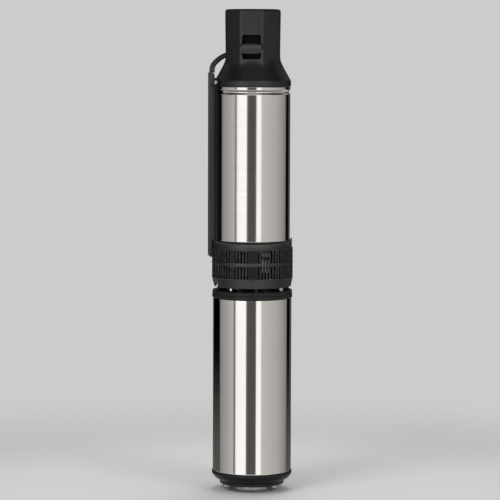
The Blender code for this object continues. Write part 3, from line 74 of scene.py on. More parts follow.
def widest(name):
    """How far a solid reaches from the pump's axis, in mm."""
    return max(corner.co.xy.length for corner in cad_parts[name].data.vertices) / MM


TUBE_FOOT, TUBE_TOP = span("pump_shell")
TUBE_RADIUS = widest("pump_shell")
MOTOR_FOOT, MOTOR_TOP = span("motor_shell")
MOTOR_RADIUS = widest("motor_shell")
RIM_RADIUS = widest("upper_end_bell")
FLANGE_FOOT, CROWN_TOP = span("suction_bracket")
FLANGE_RADIUS = widest("suction_bracket")
SLEEVE_FOOT, SLEEVE_TOP = span("intake_strainer")
SLEEVE_RADIUS = widest("intake_strainer")
HEAD_FOOT, HEAD_TOP = span("discharge_head")
BAND_RADIUS = widest("discharge_head")
GUARD_FOOT, GUARD_TOP = span("cable_guard")
print("tube", round(TUBE_RADIUS, 2), "motor", round(MOTOR_RADIUS, 2), "strainer", round(SLEEVE_RADIUS, 2))

# %% [markdown]
# ## The camera
#
# The photograph was taken from far away with a long lens: the tubes hardly taper. The lens stands a
# little below the outlet's rim, where a ring round the pump looks almost straight, and it is
# aimed down at the middle of the pump, so that the whole column fills the frame. The pump in the
# photograph leans by a sixth of a degree, so the camera rolls by as much.

# %% Camera
CAMERA_DISTANCE = 2.9
CAMERA_HEIGHT = 0.532
CAMERA_SIDE = -0.0029
AIM_HEIGHT = 0.292
VIEW_WIDTH = 0.6058  # what the frame covers at the pump's axis
LEAN = 0.17
SENSOR = 36.0

camera_data = bpy.data.cameras.new("camera")
camera_data.sensor_width = SENSOR
camera_data.lens = SENSOR * math.hypot(CAMERA_DISTANCE, CAMERA_HEIGHT - AIM_HEIGHT) / VIEW_WIDTH
camera_data.clip_start = 0.05
camera = bpy.data.objects.new("camera", camera_data)
camera.location = (CAMERA_SIDE, -CAMERA_DISTANCE, CAMERA_HEIGHT)
line_of_sight = Vector((CAMERA_SIDE, 0, AIM_HEIGHT)) - camera.location
level = line_of_sight.to_track_quat("-Z", "Y").to_matrix().to_4x4()
camera.rotation_euler = (level @ Matrix.Rotation(math.radians(LEAN), 4, "Z")).to_euler()
bpy.context.scene.collection.objects.link(camera)
bpy.context.scene.camera = camera
bpy.context.scene.view_settings.view_transform = "Standard"
print("lens", round(camera_data.lens, 1), "mm")

# %% [markdown]
# ## Making meshes
#
# Almost every piece here is turned on a lathe or moulded from a flat profile, so a few helpers do
# most of the work. Directions round the pump are given as an azimuth in degrees from the front
# towards the right, and heights from the floor. `soft_corners` rounds a profile before it is spun,
# because a real edge is never perfectly sharp: it is the small radius that catches the light.


# %% Helpers for shapes
def direction(azimuth):
    turn = math.radians(azimuth)
    return Vector((math.sin(turn), -math.cos(turn), 0))


def at(azimuth, radius, z):
    return direction(azimuth) * radius + Vector((0, 0, z))


def soft_corners(points, radius, steps=3, closed=True):
    """Rounds each corner of a (radius, height) outline; a point's third value sets its own radius."""
    out = []
    count = len(points)
    for i, point in enumerate(points):
        here = Vector(point[:2])
        reach = point[2] if len(point) > 2 else radius
        if reach == 0 or (not closed and i in (0, count - 1)):
            out.append(here)
            continue
        back = Vector(points[i - 1][:2]) - here
        ahead = Vector(points[(i + 1) % count][:2]) - here
        if back.length < 1e-9 or ahead.length < 1e-9:
            out.append(here)
            continue
        reach = min(reach, back.length * 0.45, ahead.length * 0.45)
        start, end = here + back.normalized() * reach, here + ahead.normalized() * reach
        for k in range(steps + 1):
            t = k / steps
            out.append(start * (1 - t) ** 2 + here * 2 * t * (1 - t) + end * t**2)
    return [(p.x, p.y) for p in out]


def lathe(outline, segments=128, closed=True):
    bm = bmesh.new()
    points = [bm.verts.new((r, 0, z)) for r, z in outline]
    edges = [bm.edges.new(pair) for pair in zip(points, points[1:])]
    if closed:
        edges.append(bm.edges.new((points[-1], points[0])))
    bmesh.ops.spin(
        bm, geom=points + edges, cent=(0, 0, 0), axis=(0, 0, 1), angle=math.tau, steps=segments
    )
    bmesh.ops.remove_doubles(bm, verts=bm.verts, dist=1e-6)
    return bm


def pulled(corners, axis, end):
    """A flat face, pulled along an axis until its copy stands at the end."""
    bm = bmesh.new()
    base = bm.faces.new([bm.verts.new(corner) for corner in corners])
    moved = bmesh.ops.extrude_face_region(bm, geom=[base])["geom"]
    for corner in (item for item in moved if isinstance(item, bmesh.types.BMVert)):
        corner.co[axis] = end
    return bm


def prism(outline, low, high):
    return pulled([(x, y, low) for x, y in outline], 2, high)


def skin(bm, rings):
    """Lays faces from each ring of corners to the next, and closes both ends."""
    count = len(rings[0])
    for low, high in zip(rings, rings[1:]):
        for k in range(count):
            j = (k + 1) % count
            bm.faces.new((low[k], low[j], high[j], high[k]))
    bm.faces.new(rings[0][::-1])
    bm.faces.new(rings[-1])
    return bm


def circle(radius, count):
    turns = [math.tau * k / count for k in range(count)]
    return [(radius * math.cos(turn), radius * math.sin(turn)) for turn in turns]


def rod(radius, low, high, segments=32):
    return lathe([(0, low), (radius, low), (radius, high), (0, high)], segments, closed=False)


def upright_edges(bm, length):
    return [e for e in bm.edges if abs(e.verts[0].co.z - e.verts[1].co.z) > length]


def turned_to(bm, azimuth, radius, z, along_radius=True):
    """Moves a mesh made on the Z axis to a place on the pump's side."""
    out = direction(azimuth)
    place = Matrix.Translation(at(azimuth, radius, z))
    if along_radius:
        side = Vector((0, 0, 1)).cross(out)
        place = place @ Matrix((side, out.cross(side), out)).transposed().to_4x4()
    bmesh.ops.transform(bm, matrix=place, verts=bm.verts)
    return bm


def joined(parts):
    """Several meshes as one, without welding them."""
    whole = bmesh.new()
    for bm in parts:
        carrier = bpy.data.meshes.new("carrier")
        bm.to_mesh(carrier)
        bm.free()
        whole.from_mesh(carrier)
        bpy.data.meshes.remove(carrier)
    return whole


# %% [markdown]
# Cutting and fusing solids is left to Blender's Boolean modifier. It is applied at once, so what
# stays in the scene is one plain mesh for each piece. Faces that meet at less than the crease
# angle are shaded as one smooth surface.


# %% Helpers for objects
def as_object(name, bm, crease=34):
    mesh = bpy.data.meshes.new(name)
    bmesh.ops.recalc_face_normals(bm, faces=bm.faces)
    bm.to_mesh(mesh)
    bm.free()
    mesh.shade_smooth()
    mesh.set_sharp_from_angle(angle=math.radians(crease))
    made = bpy.data.objects.new(name, mesh)
    bpy.context.scene.collection.objects.link(made)
    return made


def bake_modifiers(made, crease=34):
    graph = bpy.context.evaluated_depsgraph_get()
    mesh = bpy.data.meshes.new_from_object(made.evaluated_get(graph))
    made.modifiers.clear()
    made.data = mesh
    mesh.shade_smooth()
    mesh.set_sharp_from_angle(angle=math.radians(crease))
    return made


def combine(target, bm, operation):
    tool = as_object("tool", bm)
    step = target.modifiers.new("combine", "BOOLEAN")
    step.operation, step.solver, step.object = operation, "EXACT", tool
    bake_modifiers(target)
    bpy.data.objects.remove(tool, do_unlink=True)
    return target


def cut(target, bm):
    return combine(target, bm, "DIFFERENCE")


def fuse(target, bm):
    return combine(target, bm, "UNION")


def soften(made, width, segments=2, angle=32, crease=34):
    step = made.modifiers.new("soft_edges", "BEVEL")
    step.width, step.segments = width, segments
    step.limit_method, step.angle_limit = "ANGLE", math.radians(angle)
    step.use_clamp_overlap = True
    return bake_modifiers(made, crease)


def piece(made, finish, body, slot, *replaced):
    """Gives a mesh its finish, lets it ride on a body and says which solids it stands for."""
    made.data.materials.clear()
    made.data.materials.append(finish)
    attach(made, body)
    if replaced:
        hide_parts(*replaced)
    faces = len(made.data.polygons) if made.type == "MESH" else 0
    print(f"{made.name}: {faces} faces for {', '.join(replaced) or 'a detail'}")
    return made


# %% [markdown]
# ## Effects that several finishes share
#
# A finish is never one flat colour. Steel that was polished on a lathe carries fine lines round the
# tube, moulded plastic has the fine grain of its mould, and everything that is handled gets a little
# uneven in its gloss. Each of these effects is a node group with named sockets, built once and
# set differently in each material. They read the object's own coordinates, in metres, so the
# effect has a real size and stays on the piece when it moves.


# %% Node helpers
def new_group(name, inputs, outputs):
    group = bpy.data.node_groups.new(name, "ShaderNodeTree")
    for label, value in inputs:
        socket = group.interface.new_socket(label, in_out="INPUT", socket_type="NodeSocketFloat")
        socket.default_value = value
    for label, kind in outputs:
        group.interface.new_socket(label, in_out="OUTPUT", socket_type=kind)
    return group, group.nodes.new("NodeGroupInput"), group.nodes.new("NodeGroupOutput")


def node(tree, kind, settings=None, links=None, **values):
    """One node: settings are its properties, values its sockets and links what feeds it."""
    made = tree.nodes.new(kind)
    for key, value in (settings or {}).items():
        setattr(made, key, value)
    for key, value in values.items():
        made.inputs[key.replace("_", " ")].default_value = value
    for key, source in (links or {}).items():
        tree.links.new(source, made.inputs[key])
    return made


def sum_of(tree, operation, first, second):
    """A Math node; first and second are sockets or numbers."""
    made = node(tree, "ShaderNodeMath", {"operation": operation})
    for index, value in enumerate((first, second)):
        if isinstance(value, (int, float)):
            made.inputs[index].default_value = value
        else:
            tree.links.new(value, made.inputs[index])
    return made.outputs[0]


def ramp(tree, source, low, high, to_low=0.0, to_high=1.0):
    made = node(tree, "ShaderNodeMapRange", links={"Value": source})
    made.interpolation_type = "SMOOTHSTEP"
    for label, value in (("From Min", low), ("From Max", high), ("To Min", to_low), ("To Max", to_high)):
        made.inputs[label].default_value = value
    return made.outputs["Result"]


def noise(tree, place, detail, roughness, scale=1.0):
    return node(
        tree, "ShaderNodeTexNoise", {"noise_dimensions": "3D"}, {"Vector": place},
        Scale=scale, Detail=detail, Roughness=roughness,
    )


def stretched(tree, scale=(1, 1, 1)):
    """The object's coordinates, stretched by a scale for each axis."""
    place = node(tree, "ShaderNodeTexCoord")
    made = node(tree, "ShaderNodeMapping", links={"Vector": place.outputs["Object"]})
    made.inputs["Scale"].default_value = scale
    return made.outputs["Vector"]


# %% Effect: lathe lines round a tube
def lathe_lines():
    group, start, end = new_group(
        "lathe_lines",
        [("Spacing", 0.6), ("Depth", 1.0)],
        [("Height", "NodeSocketFloat"), ("Mask", "NodeSocketFloat")],
    )
    coarse = noise(group, stretched(group, (9, 9, 900)), 3.0, 0.65)
    fine = noise(group, stretched(group, (14, 14, 4200)), 2.0, 0.6)
    both = sum_of(group, "MULTIPLY", fine.outputs["Fac"], start.outputs["Spacing"])
    both = sum_of(group, "ADD", both, coarse.outputs["Fac"])
    group.links.new(sum_of(group, "MULTIPLY", both, start.outputs["Depth"]), end.inputs["Height"])
    group.links.new(ramp(group, fine.outputs["Fac"], 0.35, 0.65), end.inputs["Mask"])
    return group


LATHE_LINES = lathe_lines()


# %% Effect: uneven gloss, from handling and cleaning
def smudges():
    group, start, end = new_group(
        "smudges",
        [("Scale", 22.0), ("Low", 0.2), ("High", 0.3)],
        [("Roughness", "NodeSocketFloat"), ("Mask", "NodeSocketFloat")],
    )
    wide = noise(group, stretched(group, (1, 1, 0.55)), 5.0, 0.6)
    wide.inputs["Distortion"].default_value = 0.5
    group.links.new(start.outputs["Scale"], wide.inputs["Scale"])
    mask = ramp(group, wide.outputs["Fac"], 0.34, 0.68)
    spread = node(group, "ShaderNodeMapRange", links={
        "Value": mask, "To Min": start.outputs["Low"], "To Max": start.outputs["High"],
    })
    group.links.new(spread.outputs["Result"], end.inputs["Roughness"])
    group.links.new(mask, end.inputs["Mask"])
    return group


SMUDGES = smudges()


# %% Effect: the grain that a mould leaves on plastic
def mould_grain():
    group, start, end = new_group(
        "mould_grain",
        [("Size", 1.0), ("Flow", 0.5)],
        [("Height", "NodeSocketFloat"), ("Mask", "NodeSocketFloat")],
    )
    place = {0: stretched(group), 3: start.outputs["Size"]}
    sized = node(group, "ShaderNodeVectorMath", {"operation": "SCALE"}, place)
    grain = noise(group, sized.outputs[0], 2.0, 0.6, 1700.0)
    flow = noise(group, sized.outputs[0], 3.0, 0.5, 70.0)
    slow = sum_of(group, "MULTIPLY", flow.outputs["Fac"], start.outputs["Flow"])
    group.links.new(sum_of(group, "ADD", grain.outputs["Fac"], slow), end.inputs["Height"])
    group.links.new(ramp(group, flow.outputs["Fac"], 0.3, 0.7), end.inputs["Mask"])
    return group


MOULD_GRAIN = mould_grain()


# %% Effect: edges lighter than the faces beside them, as wear and as a painted highlight
def edge_wear_and_highlight():
    group, start, end = new_group(
        "edge_wear_and_highlight", [("Amount", 0.5), ("Reach", 0.02)], [("Mask", "NodeSocketFloat")]
    )
    flat = 0.515  # the pointiness of a face that is just not flat
    shape = node(group, "ShaderNodeNewGeometry")
    top = sum_of(group, "ADD", start.outputs["Reach"], flat)
    edge = node(group, "ShaderNodeMapRange", links={"Value": shape.outputs["Pointiness"], "From Max": top})
    edge.inputs["From Min"].default_value = flat
    patches = noise(group, stretched(group), 3.0, 0.7, 260.0)
    worn = ramp(group, patches.outputs["Fac"], 0.35, 0.6)
    broken = sum_of(group, "MULTIPLY", edge.outputs["Result"], worn)
    group.links.new(sum_of(group, "MULTIPLY", broken, start.outputs["Amount"]), end.inputs["Mask"])
    return group


EDGE_WEAR_AND_HIGHLIGHT = edge_wear_and_highlight()


# %% Effect: dust that settles on faces that look up
def settled_dust():
    group, start, end = new_group("settled_dust", [("Amount", 0.3)], [("Mask", "NodeSocketFloat")])
    shape = node(group, "ShaderNodeNewGeometry")
    parts = node(group, "ShaderNodeSeparateXYZ", links={"Vector": shape.outputs["Normal"]})
    up = ramp(group, parts.outputs["Z"], 0.2, 1.0)
    specks = noise(group, stretched(group), 4.0, 0.75, 420.0)
    lying = sum_of(group, "MULTIPLY", up, ramp(group, specks.outputs["Fac"], 0.42, 0.62))
    group.links.new(sum_of(group, "MULTIPLY", lying, start.outputs["Amount"]), end.inputs["Mask"])
    return group


SETTLED_DUST = settled_dust()
print("effects", sorted(g.name for g in bpy.data.node_groups))

# %% [markdown]
# ## Finishes
#
# `finish` makes a material with one Principled BSDF. Two colours are mixed by a mask, the
# roughness comes from the smudges, and a bump gives the surface its relief. What is the same
# everywhere, such as how metallic the surface is, is set on the shader itself.


# %% The common build of a finish
def use(tree, group, **values):
    made = tree.nodes.new("ShaderNodeGroup")
    made.node_tree = group
    for key, value in values.items():
        made.inputs[key].default_value = value
    return made


DUST_COLOUR = (0.35, 0.33, 0.3)
ASIDE_FROM = 0.33  # faces turned further aside than this show the second value of the sheen


def finish(name, colour, second, gloss, metallic=0.0, relief=None, depth=0.02, mix="smudges",
           smudge_scale=22.0, edges=0.0, edge_colour=None, dust=0.0, sockets=None, sheen=None):
    """relief is (group, its values); gloss is (lowest, highest) roughness; depth is in mm; sheen is the
    shine of faces that look at the viewer and of faces that look aside."""
    made = bpy.data.materials.new(name)
    made.use_nodes = True
    tree = made.node_tree
    shader = tree.nodes["Principled BSDF"]
    shader.inputs["Metallic"].default_value = metallic
    for key, value in (sockets or {}).items():
        shader.inputs[key].default_value = value
    if sheen:
        aside = node(tree, "ShaderNodeLayerWeight")
        aside.inputs["Blend"].default_value = 0.5
        shine = node(tree, "ShaderNodeMapRange", links={"Value": aside.outputs["Facing"]})
        shine.inputs["From Max"].default_value = ASIDE_FROM
        shine.inputs["To Min"].default_value, shine.inputs["To Max"].default_value = sheen
        tree.links.new(shine.outputs["Result"], shader.inputs["Specular IOR Level"])
    wipe = use(tree, SMUDGES, Scale=smudge_scale, Low=gloss[0], High=gloss[1])
    tree.links.new(wipe.outputs["Roughness"], shader.inputs["Roughness"])
    mask = wipe.outputs["Mask"]
    if relief:
        group, values = relief
        grain = use(tree, group, **values)
        bump = node(tree, "ShaderNodeBump", links={"Height": grain.outputs["Height"]})
        bump.inputs["Strength"].default_value = 1.0
        bump.inputs["Distance"].default_value = depth * MM
        tree.links.new(bump.outputs["Normal"], shader.inputs["Normal"])
        if mix == "relief":
            mask = grain.outputs["Mask"]
    blend = node(tree, "ShaderNodeMix", {"data_type": "RGBA"}, {0: mask})
    blend.inputs[6].default_value, blend.inputs[7].default_value = (*colour, 1), (*second, 1)
    last = blend.outputs[2]
    for amount, group, tint in ((edges, EDGE_WEAR_AND_HIGHLIGHT, edge_colour), (dust, SETTLED_DUST, DUST_COLOUR)):
        if amount:
            worn = use(tree, group, Amount=amount)
            over = node(tree, "ShaderNodeMix", {"data_type": "RGBA"}, {0: worn.outputs["Mask"], 6: last})
            over.inputs[7].default_value = (*tint, 1)
            last = over.outputs[2]
    tree.links.new(last, shader.inputs["Base Color"])
    return made


# %% [markdown]
# Stainless steel is a little warm. The pump's tube is finely brushed round its axis, the motor's
# is smoother. The black plastic is glass-filled nylon: nearly black, satin, with a fine grain. The
# impellers and the valve are pale engineering plastic.

# %% The finishes of this pump
TUBE_STEEL = finish(
    "tube_steel", (0.60, 0.58, 0.55), (0.66, 0.64, 0.61), (0.08, 0.12), 1.0,
    (LATHE_LINES, {"Spacing": 0.8, "Depth": 1.0}), 0.006, "relief",
)
MOTOR_STEEL = finish(
    "motor_steel", (0.61, 0.59, 0.56), (0.655, 0.635, 0.61), (0.05, 0.08), 1.0,
    (LATHE_LINES, {"Spacing": 0.35, "Depth": 1.0}), 0.002, "smudges", 14.0,
)
BRIGHT_STEEL = finish(
    "bright_steel", (0.66, 0.65, 0.63), (0.74, 0.73, 0.71), (0.18, 0.3), 1.0,
    (MOULD_GRAIN, {"Size": 0.8, "Flow": 0.6}), 0.01, "smudges", 160.0, 0.3, (0.85, 0.84, 0.82),
)
DULL_STEEL = finish(
    "dull_steel", (0.26, 0.255, 0.25), (0.36, 0.355, 0.35), (0.3, 0.42), 1.0,
    (LATHE_LINES, {"Spacing": 0.6, "Depth": 1.0}), 0.01, "smudges", 120.0, 0.3, (0.6, 0.6, 0.59),
)
# Painted shade: the coupling's steel is nearly black, for the shade it sits in behind the slots.
PAINTED_SHADE_STEEL = finish(
    "painted_shade_steel", (0.03, 0.029, 0.028), (0.055, 0.053, 0.05), (0.45, 0.6), 1.0,
    (MOULD_GRAIN, {"Size": 0.6, "Flow": 0.5}), 0.03, "smudges", 90.0,
)
GROUND_STEEL = finish(
    "ground_steel", (0.56, 0.55, 0.54), (0.64, 0.63, 0.61), (0.16, 0.24), 1.0,
    (LATHE_LINES, {"Spacing": 1.2, "Depth": 1.0}), 0.01, "relief",
)
BLACK_NYLON = finish(
    "black_nylon", (0.0036, 0.0036, 0.0038), (0.006, 0.006, 0.0062), (0.36, 0.46), 0.0,
    (MOULD_GRAIN, {"Size": 1.0, "Flow": 0.9}), 0.02, "smudges", 30.0, 0.25, (0.05, 0.05, 0.05), 0.02,
    sheen=(0.64, 0.33),
)
ROPE_POLISHED = finish(
    "rope_polished_nylon", (0.0036, 0.0036, 0.0036), (0.006, 0.006, 0.006), (0.34, 0.42), 0.0,
    (MOULD_GRAIN, {"Size": 0.8, "Flow": 1.4}), 0.012, "smudges", 120.0, sheen=(0.75, 0.35),
)
# On the strainer's two nylons the lighter edges are wear and also a painted highlight along the narrow bars
# and ribs.
SIEVE_NYLON = finish(
    "sieve_nylon", (0.011, 0.011, 0.0107), (0.018, 0.018, 0.0175), (0.34, 0.48), 0.0,
    (MOULD_GRAIN, {"Size": 0.7, "Flow": 1.2}), 0.03, "smudges", 45.0, 0.4, (0.12, 0.12, 0.118), 0.04,
    sheen=(0.74, 0.26),
)
# Painted shade: a darker, duller copy of the black nylon for faces in shade, namely the strainer's slot
# walls and inside, the guard's flange edge, and the head's window and bore.
PAINTED_SHADE_NYLON = finish(
    "painted_shade_nylon", (0.0012, 0.0012, 0.0012), (0.0024, 0.0024, 0.0024), (0.5, 0.62), 0.0,
    (MOULD_GRAIN, {"Size": 0.9, "Flow": 1.0}), 0.02, "smudges", 50.0, sockets={"Specular IOR Level": 0.14},
)
SLOT_NYLON = finish(
    "slot_nylon", (0.0025, 0.0025, 0.0025), (0.0045, 0.0045, 0.0045), (0.46, 0.58), 0.0,
    (MOULD_GRAIN, {"Size": 0.7, "Flow": 1.2}), 0.03, "smudges", 45.0, 0.45, (0.10, 0.10, 0.098), 0.04,
    sheen=(0.28, 0.34),
)
BELL_NYLON = finish(
    "bell_nylon", (0.0028, 0.003, 0.0029), (0.005, 0.0052, 0.005), (0.38, 0.5), 0.0,
    (MOULD_GRAIN, {"Size": 1.2, "Flow": 0.8}), 0.02, "smudges", 30.0, 0.2, (0.04, 0.04, 0.04), 0.02,
    {"Specular IOR Level": 0.31},
)
PALE_PLASTIC = finish(
    "pale_plastic", (0.68, 0.655, 0.57), (0.75, 0.73, 0.66), (0.35, 0.5), 0.0,
    (MOULD_GRAIN, {"Size": 1.0, "Flow": 0.7}), 0.015, "smudges", 40.0, 0.25, (0.85, 0.83, 0.77),
)
BLACK_RUBBER = finish(
    "black_rubber", (0.016, 0.016, 0.016), (0.028, 0.027, 0.026), (0.6, 0.75), 0.0,
    (MOULD_GRAIN, {"Size": 0.7, "Flow": 1.2}), 0.03, "smudges", 60.0, 0.0, None, 0.2,
)
LEAD_JACKET = finish(
    "lead_jacket", (0.026, 0.030, 0.029), (0.040, 0.045, 0.043), (0.34, 0.5), 0.0,
    (MOULD_GRAIN, {"Size": 0.8, "Flow": 1.0}), 0.02, "smudges", 90.0, 0.0, None, 0.12,
)
COPPER = finish(
    "copper", (0.60, 0.27, 0.13), (0.70, 0.36, 0.2), (0.25, 0.4), 1.0,
    (LATHE_LINES, {"Spacing": 0.9, "Depth": 1.0}), 0.05, "relief",
)
CORE_IRON = finish(
    "core_iron", (0.17, 0.17, 0.18), (0.25, 0.25, 0.26), (0.4, 0.55), 1.0,
    (LATHE_LINES, {"Spacing": 1.3, "Depth": 1.0}), 0.05, "relief",
)
BEARING_CARBON = finish(
    "bearing_carbon", (0.045, 0.045, 0.05), (0.07, 0.07, 0.075), (0.3, 0.45), 0.0,
    (MOULD_GRAIN, {"Size": 1.4, "Flow": 0.4}), 0.01, "smudges", 80.0,
)
print("finishes", len(bpy.data.materials))

# %% [markdown]
# ## The lead
#
# The motor's lead is a flat twin: two insulated wires side by side in one jacket. It comes out of the
# top of the guard on edge, swings behind the neck and goes down the back to the floor, where its spare
# length lies as a small flat coil. A cord is a fixed length on one smooth line, so the line comes
# first: the same points as in the solids, then the turns of the coil. The section is swept along it
# without twisting more than the lead would.

# %% The lead's line
LEAD_WIDTH = 6.6 * MM
LEAD_THICK = 3.5 * MM
LEAD_WEB = 0.9 * MM
LEAD_LENGTH = 1.6
LEAD_POINTS = (
    (-49.2, 0.0, 506.5), (-49.2, 0.0, 511.0), (-47.5, 2.0, 516.0), (-43.2, 7.0, 520.7),
    (-37.9, 15.0, 524.8), (-31.7, 25.0, 527.6), (-23.4, 34.5, 528.2), (-14.0, 43.0, 523.5),
    (-6.5, 49.6, 511.0), (-2.6, 53.2, 492.0), (-0.6, 54.2, 466.0), (0.4, 54.2, 430.0),
    (1.0, 54.4, 380.0), (1.4, 55.2, 320.0), (3.0, 56.0, 260.0), (6.5, 56.6, 200.0),
    (12.0, 57.0, 140.0), (18.5, 57.2, 92.0), (23.0, 56.8, 56.0), (24.0, 56.2, 36.0),
    (22.3, 55.3, 20.5), (17.0, 54.6, 9.5), (8.5, 54.2, 3.4),
)
COIL_CENTRE = Vector((0, 101.6 * MM, 0))


def coil_place(t):
    """A point of the coil, t degrees after the lead reaches it: two turns below, two on top."""
    def share(low, high):
        return min(max((t - low) / (high - low), 0), 1)

    radius = 47.6 - 7.2 * share(0, 55) - 6.8 * share(320, 360) + 6.8 * share(960, 1000)
    height = 2.1 - 0.2 * share(0, 55) + 3.5 * share(640, 680)
    turn = math.radians(-90 - t)
    return COIL_CENTRE + Vector((radius * math.cos(turn), radius * math.sin(turn), height)) * MM


def smooth_line(points, per_stretch=12):
    fine = []
    ends = [points[0] * 2 - points[1]] + points + [points[-1] * 2 - points[-2]]
    for a, b, c, d in zip(ends, ends[1:], ends[2:], ends[3:]):
        for i in range(per_stretch):
            t = i / per_stretch
            bend = (2 * a - 5 * b + 4 * c - d) * t**2 + (3 * b - a - 3 * c + d) * t**3
            fine.append((2 * b + (c - a) * t + bend) / 2)
    return fine + [points[-1]]


def evenly(points, spacing, length=None):
    """Reads a line at an even spacing, and ends it at a length."""
    out, walked, due = [points[0]], 0.0, spacing
    for a, b in zip(points, points[1:]):
        part = (b - a).length
        while walked + part >= due - 1e-12 and (length is None or due <= length + 1e-9):
            out.append(a.lerp(b, (due - walked) / part))
            due += spacing
        walked += part
    return out


lead_guide = [Vector(p) * MM for p in LEAD_POINTS] + [coil_place(t) for t in range(0, 1500, 12)]
lead_line = evenly(smooth_line(lead_guide, 8), LEAD_LENGTH / 500, LEAD_LENGTH)
coil_start = next(i for i, p in enumerate(lead_line) if p.z < 3 * MM)
print("lead", round(sum((b - a).length for a, b in zip(lead_line, lead_line[1:])), 3), "m")


# %% Sweeping the flat section along the line
def flat_section(width, thick, web, points=12):
    """Two round wires side by side, joined by a thin web."""
    wire = thick / 2
    half = width / 2 - wire
    reach = math.degrees(math.asin(web / thick))
    outline = []
    for side in (1, -1):
        for i in range(points + 1):
            turn = math.radians((180 - reach) * (2 * i / points - 1))
            outline.append((side * (half + wire * math.cos(turn)), side * wire * math.sin(turn)))
    return outline


def sweep(line, outline, first_side, twist=None):
    """A closed tube with a flat outline. twist gives the extra turn at each point, in degrees."""
    bm = bmesh.new()
    side = first_side.normalized()
    rings = []
    for i, point in enumerate(line):
        ahead = line[min(i + 1, len(line) - 1)] - line[max(i - 1, 0)]
        ahead.normalize()
        side = (side - ahead * side.dot(ahead)).normalized()
        across = side
        if twist:
            across = Matrix.Rotation(math.radians(twist(i)), 3, ahead) @ side
        up = ahead.cross(across)
        rings.append([bm.verts.new(point + across * x + up * y) for x, y in outline])
    return skin(bm, rings)


def untwisted_side(line, first_side, index):
    side = first_side.normalized()
    for i in range(index + 1):
        ahead = (line[min(i + 1, len(line) - 1)] - line[max(i - 1, 0)]).normalized()
        side = (side - ahead * side.dot(ahead)).normalized()
    return side, ahead


# %% The free lead and its bare ends
lead_side, lead_ahead = untwisted_side(lead_line, Vector((1, 0, 0)), coil_start)
coil_out = (lead_line[coil_start] - COIL_CENTRE).normalized()
coil_out = (coil_out - lead_ahead * coil_out.dot(lead_ahead)).normalized()
lead_turn = math.degrees(math.atan2(lead_side.cross(coil_out).dot(lead_ahead), lead_side.dot(coil_out)))
lead_turn = lead_turn - 180 if lead_turn > 90 else lead_turn + 180 if lead_turn < -90 else lead_turn
TWIST_FROM, TWIST_END = 60, coil_start - 12  # the points between which the lead turns flat


def lead_twist(i):
    share = min(max((i - TWIST_FROM) / (TWIST_END - TWIST_FROM), 0), 1)
    return lead_turn * share * share * (3 - 2 * share)


section = flat_section(LEAD_WIDTH, LEAD_THICK, LEAD_WEB)
free_lead = as_object("flat_lead", sweep(lead_line, section, Vector((1, 0, 0)), lead_twist), 60)
piece(free_lead, LEAD_JACKET, "pump", "lead_jacket", "free_lead", "lead_coil")

lead_end, lead_heading = lead_line[-1], (lead_line[-1] - lead_line[-2]).normalized()
across = Vector((0, 0, 1)).cross(lead_heading).normalized()
CORE_RADIUS, CORE_SPREAD = 0.8 * MM, 0.012 * MM
cores = []
for side in (-1, 1):
    start = lead_end - lead_heading * 1 * MM + across * side * (LEAD_WIDTH / 2 - LEAD_THICK / 2)
    along = [start + lead_heading * step * MM + across * side * CORE_SPREAD * step**2 for step in range(9)]
    cores.append(sweep(along, circle(CORE_RADIUS, 12), across))
bare_ends = piece(as_object("bare_lead_ends", joined(cores), 50), COPPER, "pump", "copper_wire")

# %% [markdown]
# Inside the guard the same lead runs straight down to its plug in the motor. Only its top, and a
# short stretch below the guard, can be seen.

# %% The lead inside the guard
HELD_STATIONS = (
    (34.7, 250.3), (34.7, 257.3), (36.0, 265.3), (39.2, 271.9), (42.85, 278.5), (46.0, 284.5),
    (49.0, 289.5), (49.5, 294.5), (49.5, 309.5), (49.5, 392.9), (49.5, 494.3), (49.6, 506.0),
)
held_line = evenly(smooth_line([at(-90, r * MM, z * MM) for r, z in HELD_STATIONS]), 3 * MM)
held_lead = as_object("lead_in_guard", sweep(held_line, section, Vector((1, 0, 0))), 60)
piece(held_lead, LEAD_JACKET, "pump", "lead_jacket", "motor_lead")

# %% [markdown]
# ## Steel tubes
#
# Both tubes are thin stainless sheet. The pump's has a groove rolled in just below its top, which
# grips the head inside. A smooth wave in the profile gives that groove its soft shoulders, and the rims are
# turned in a little so that they aren't sharp.

# %% The two tubes
GROOVE_DROP, GROOVE_HALF, GROOVE_DEPTH = 6.4, 3.1, 1.75
TUBE_WALL, MOTOR_WALL = 1.0, 1.2
RIM_SUPPORT = 0.5  # a line this far from each rim keeps the straight wall's shading straight
MOTOR_STEEL_FOOT, MOTOR_STEEL_TOP = MOTOR_FOOT - 0.5, MOTOR_TOP + 1.3


def tube_profile(radius, wall, low, high, edge, groove=None):
    """From the lower rim up the outside and down the inside, in mm; edge is how far a rim turns in."""
    turns = [math.radians(90 * k / 4) for k in range(5)]
    outer = [(radius - edge + edge * math.sin(a), low + edge - edge * math.cos(a)) for a in turns]
    outer.append((radius, low + edge + RIM_SUPPORT))
    if groove:
        middle, half, depth = groove
        steps = 18
        outer.append((radius, middle - half - RIM_SUPPORT))
        for i in range(steps + 1):
            share = 2 * i / steps - 1
            dip = depth * (0.5 + 0.5 * math.cos(math.pi * share)) ** 0.8
            outer.append((radius - dip, middle + half * share))
        outer.append((radius, middle + half + RIM_SUPPORT))
    outer.append((radius, high - edge - RIM_SUPPORT))
    outer += [(radius - edge + edge * math.cos(a), high - edge + edge * math.sin(a)) for a in turns]
    inner = [(r - wall + 0.3, z) for r, z in reversed(outer)]
    return [(r * MM, z * MM) for r, z in outer + inner]


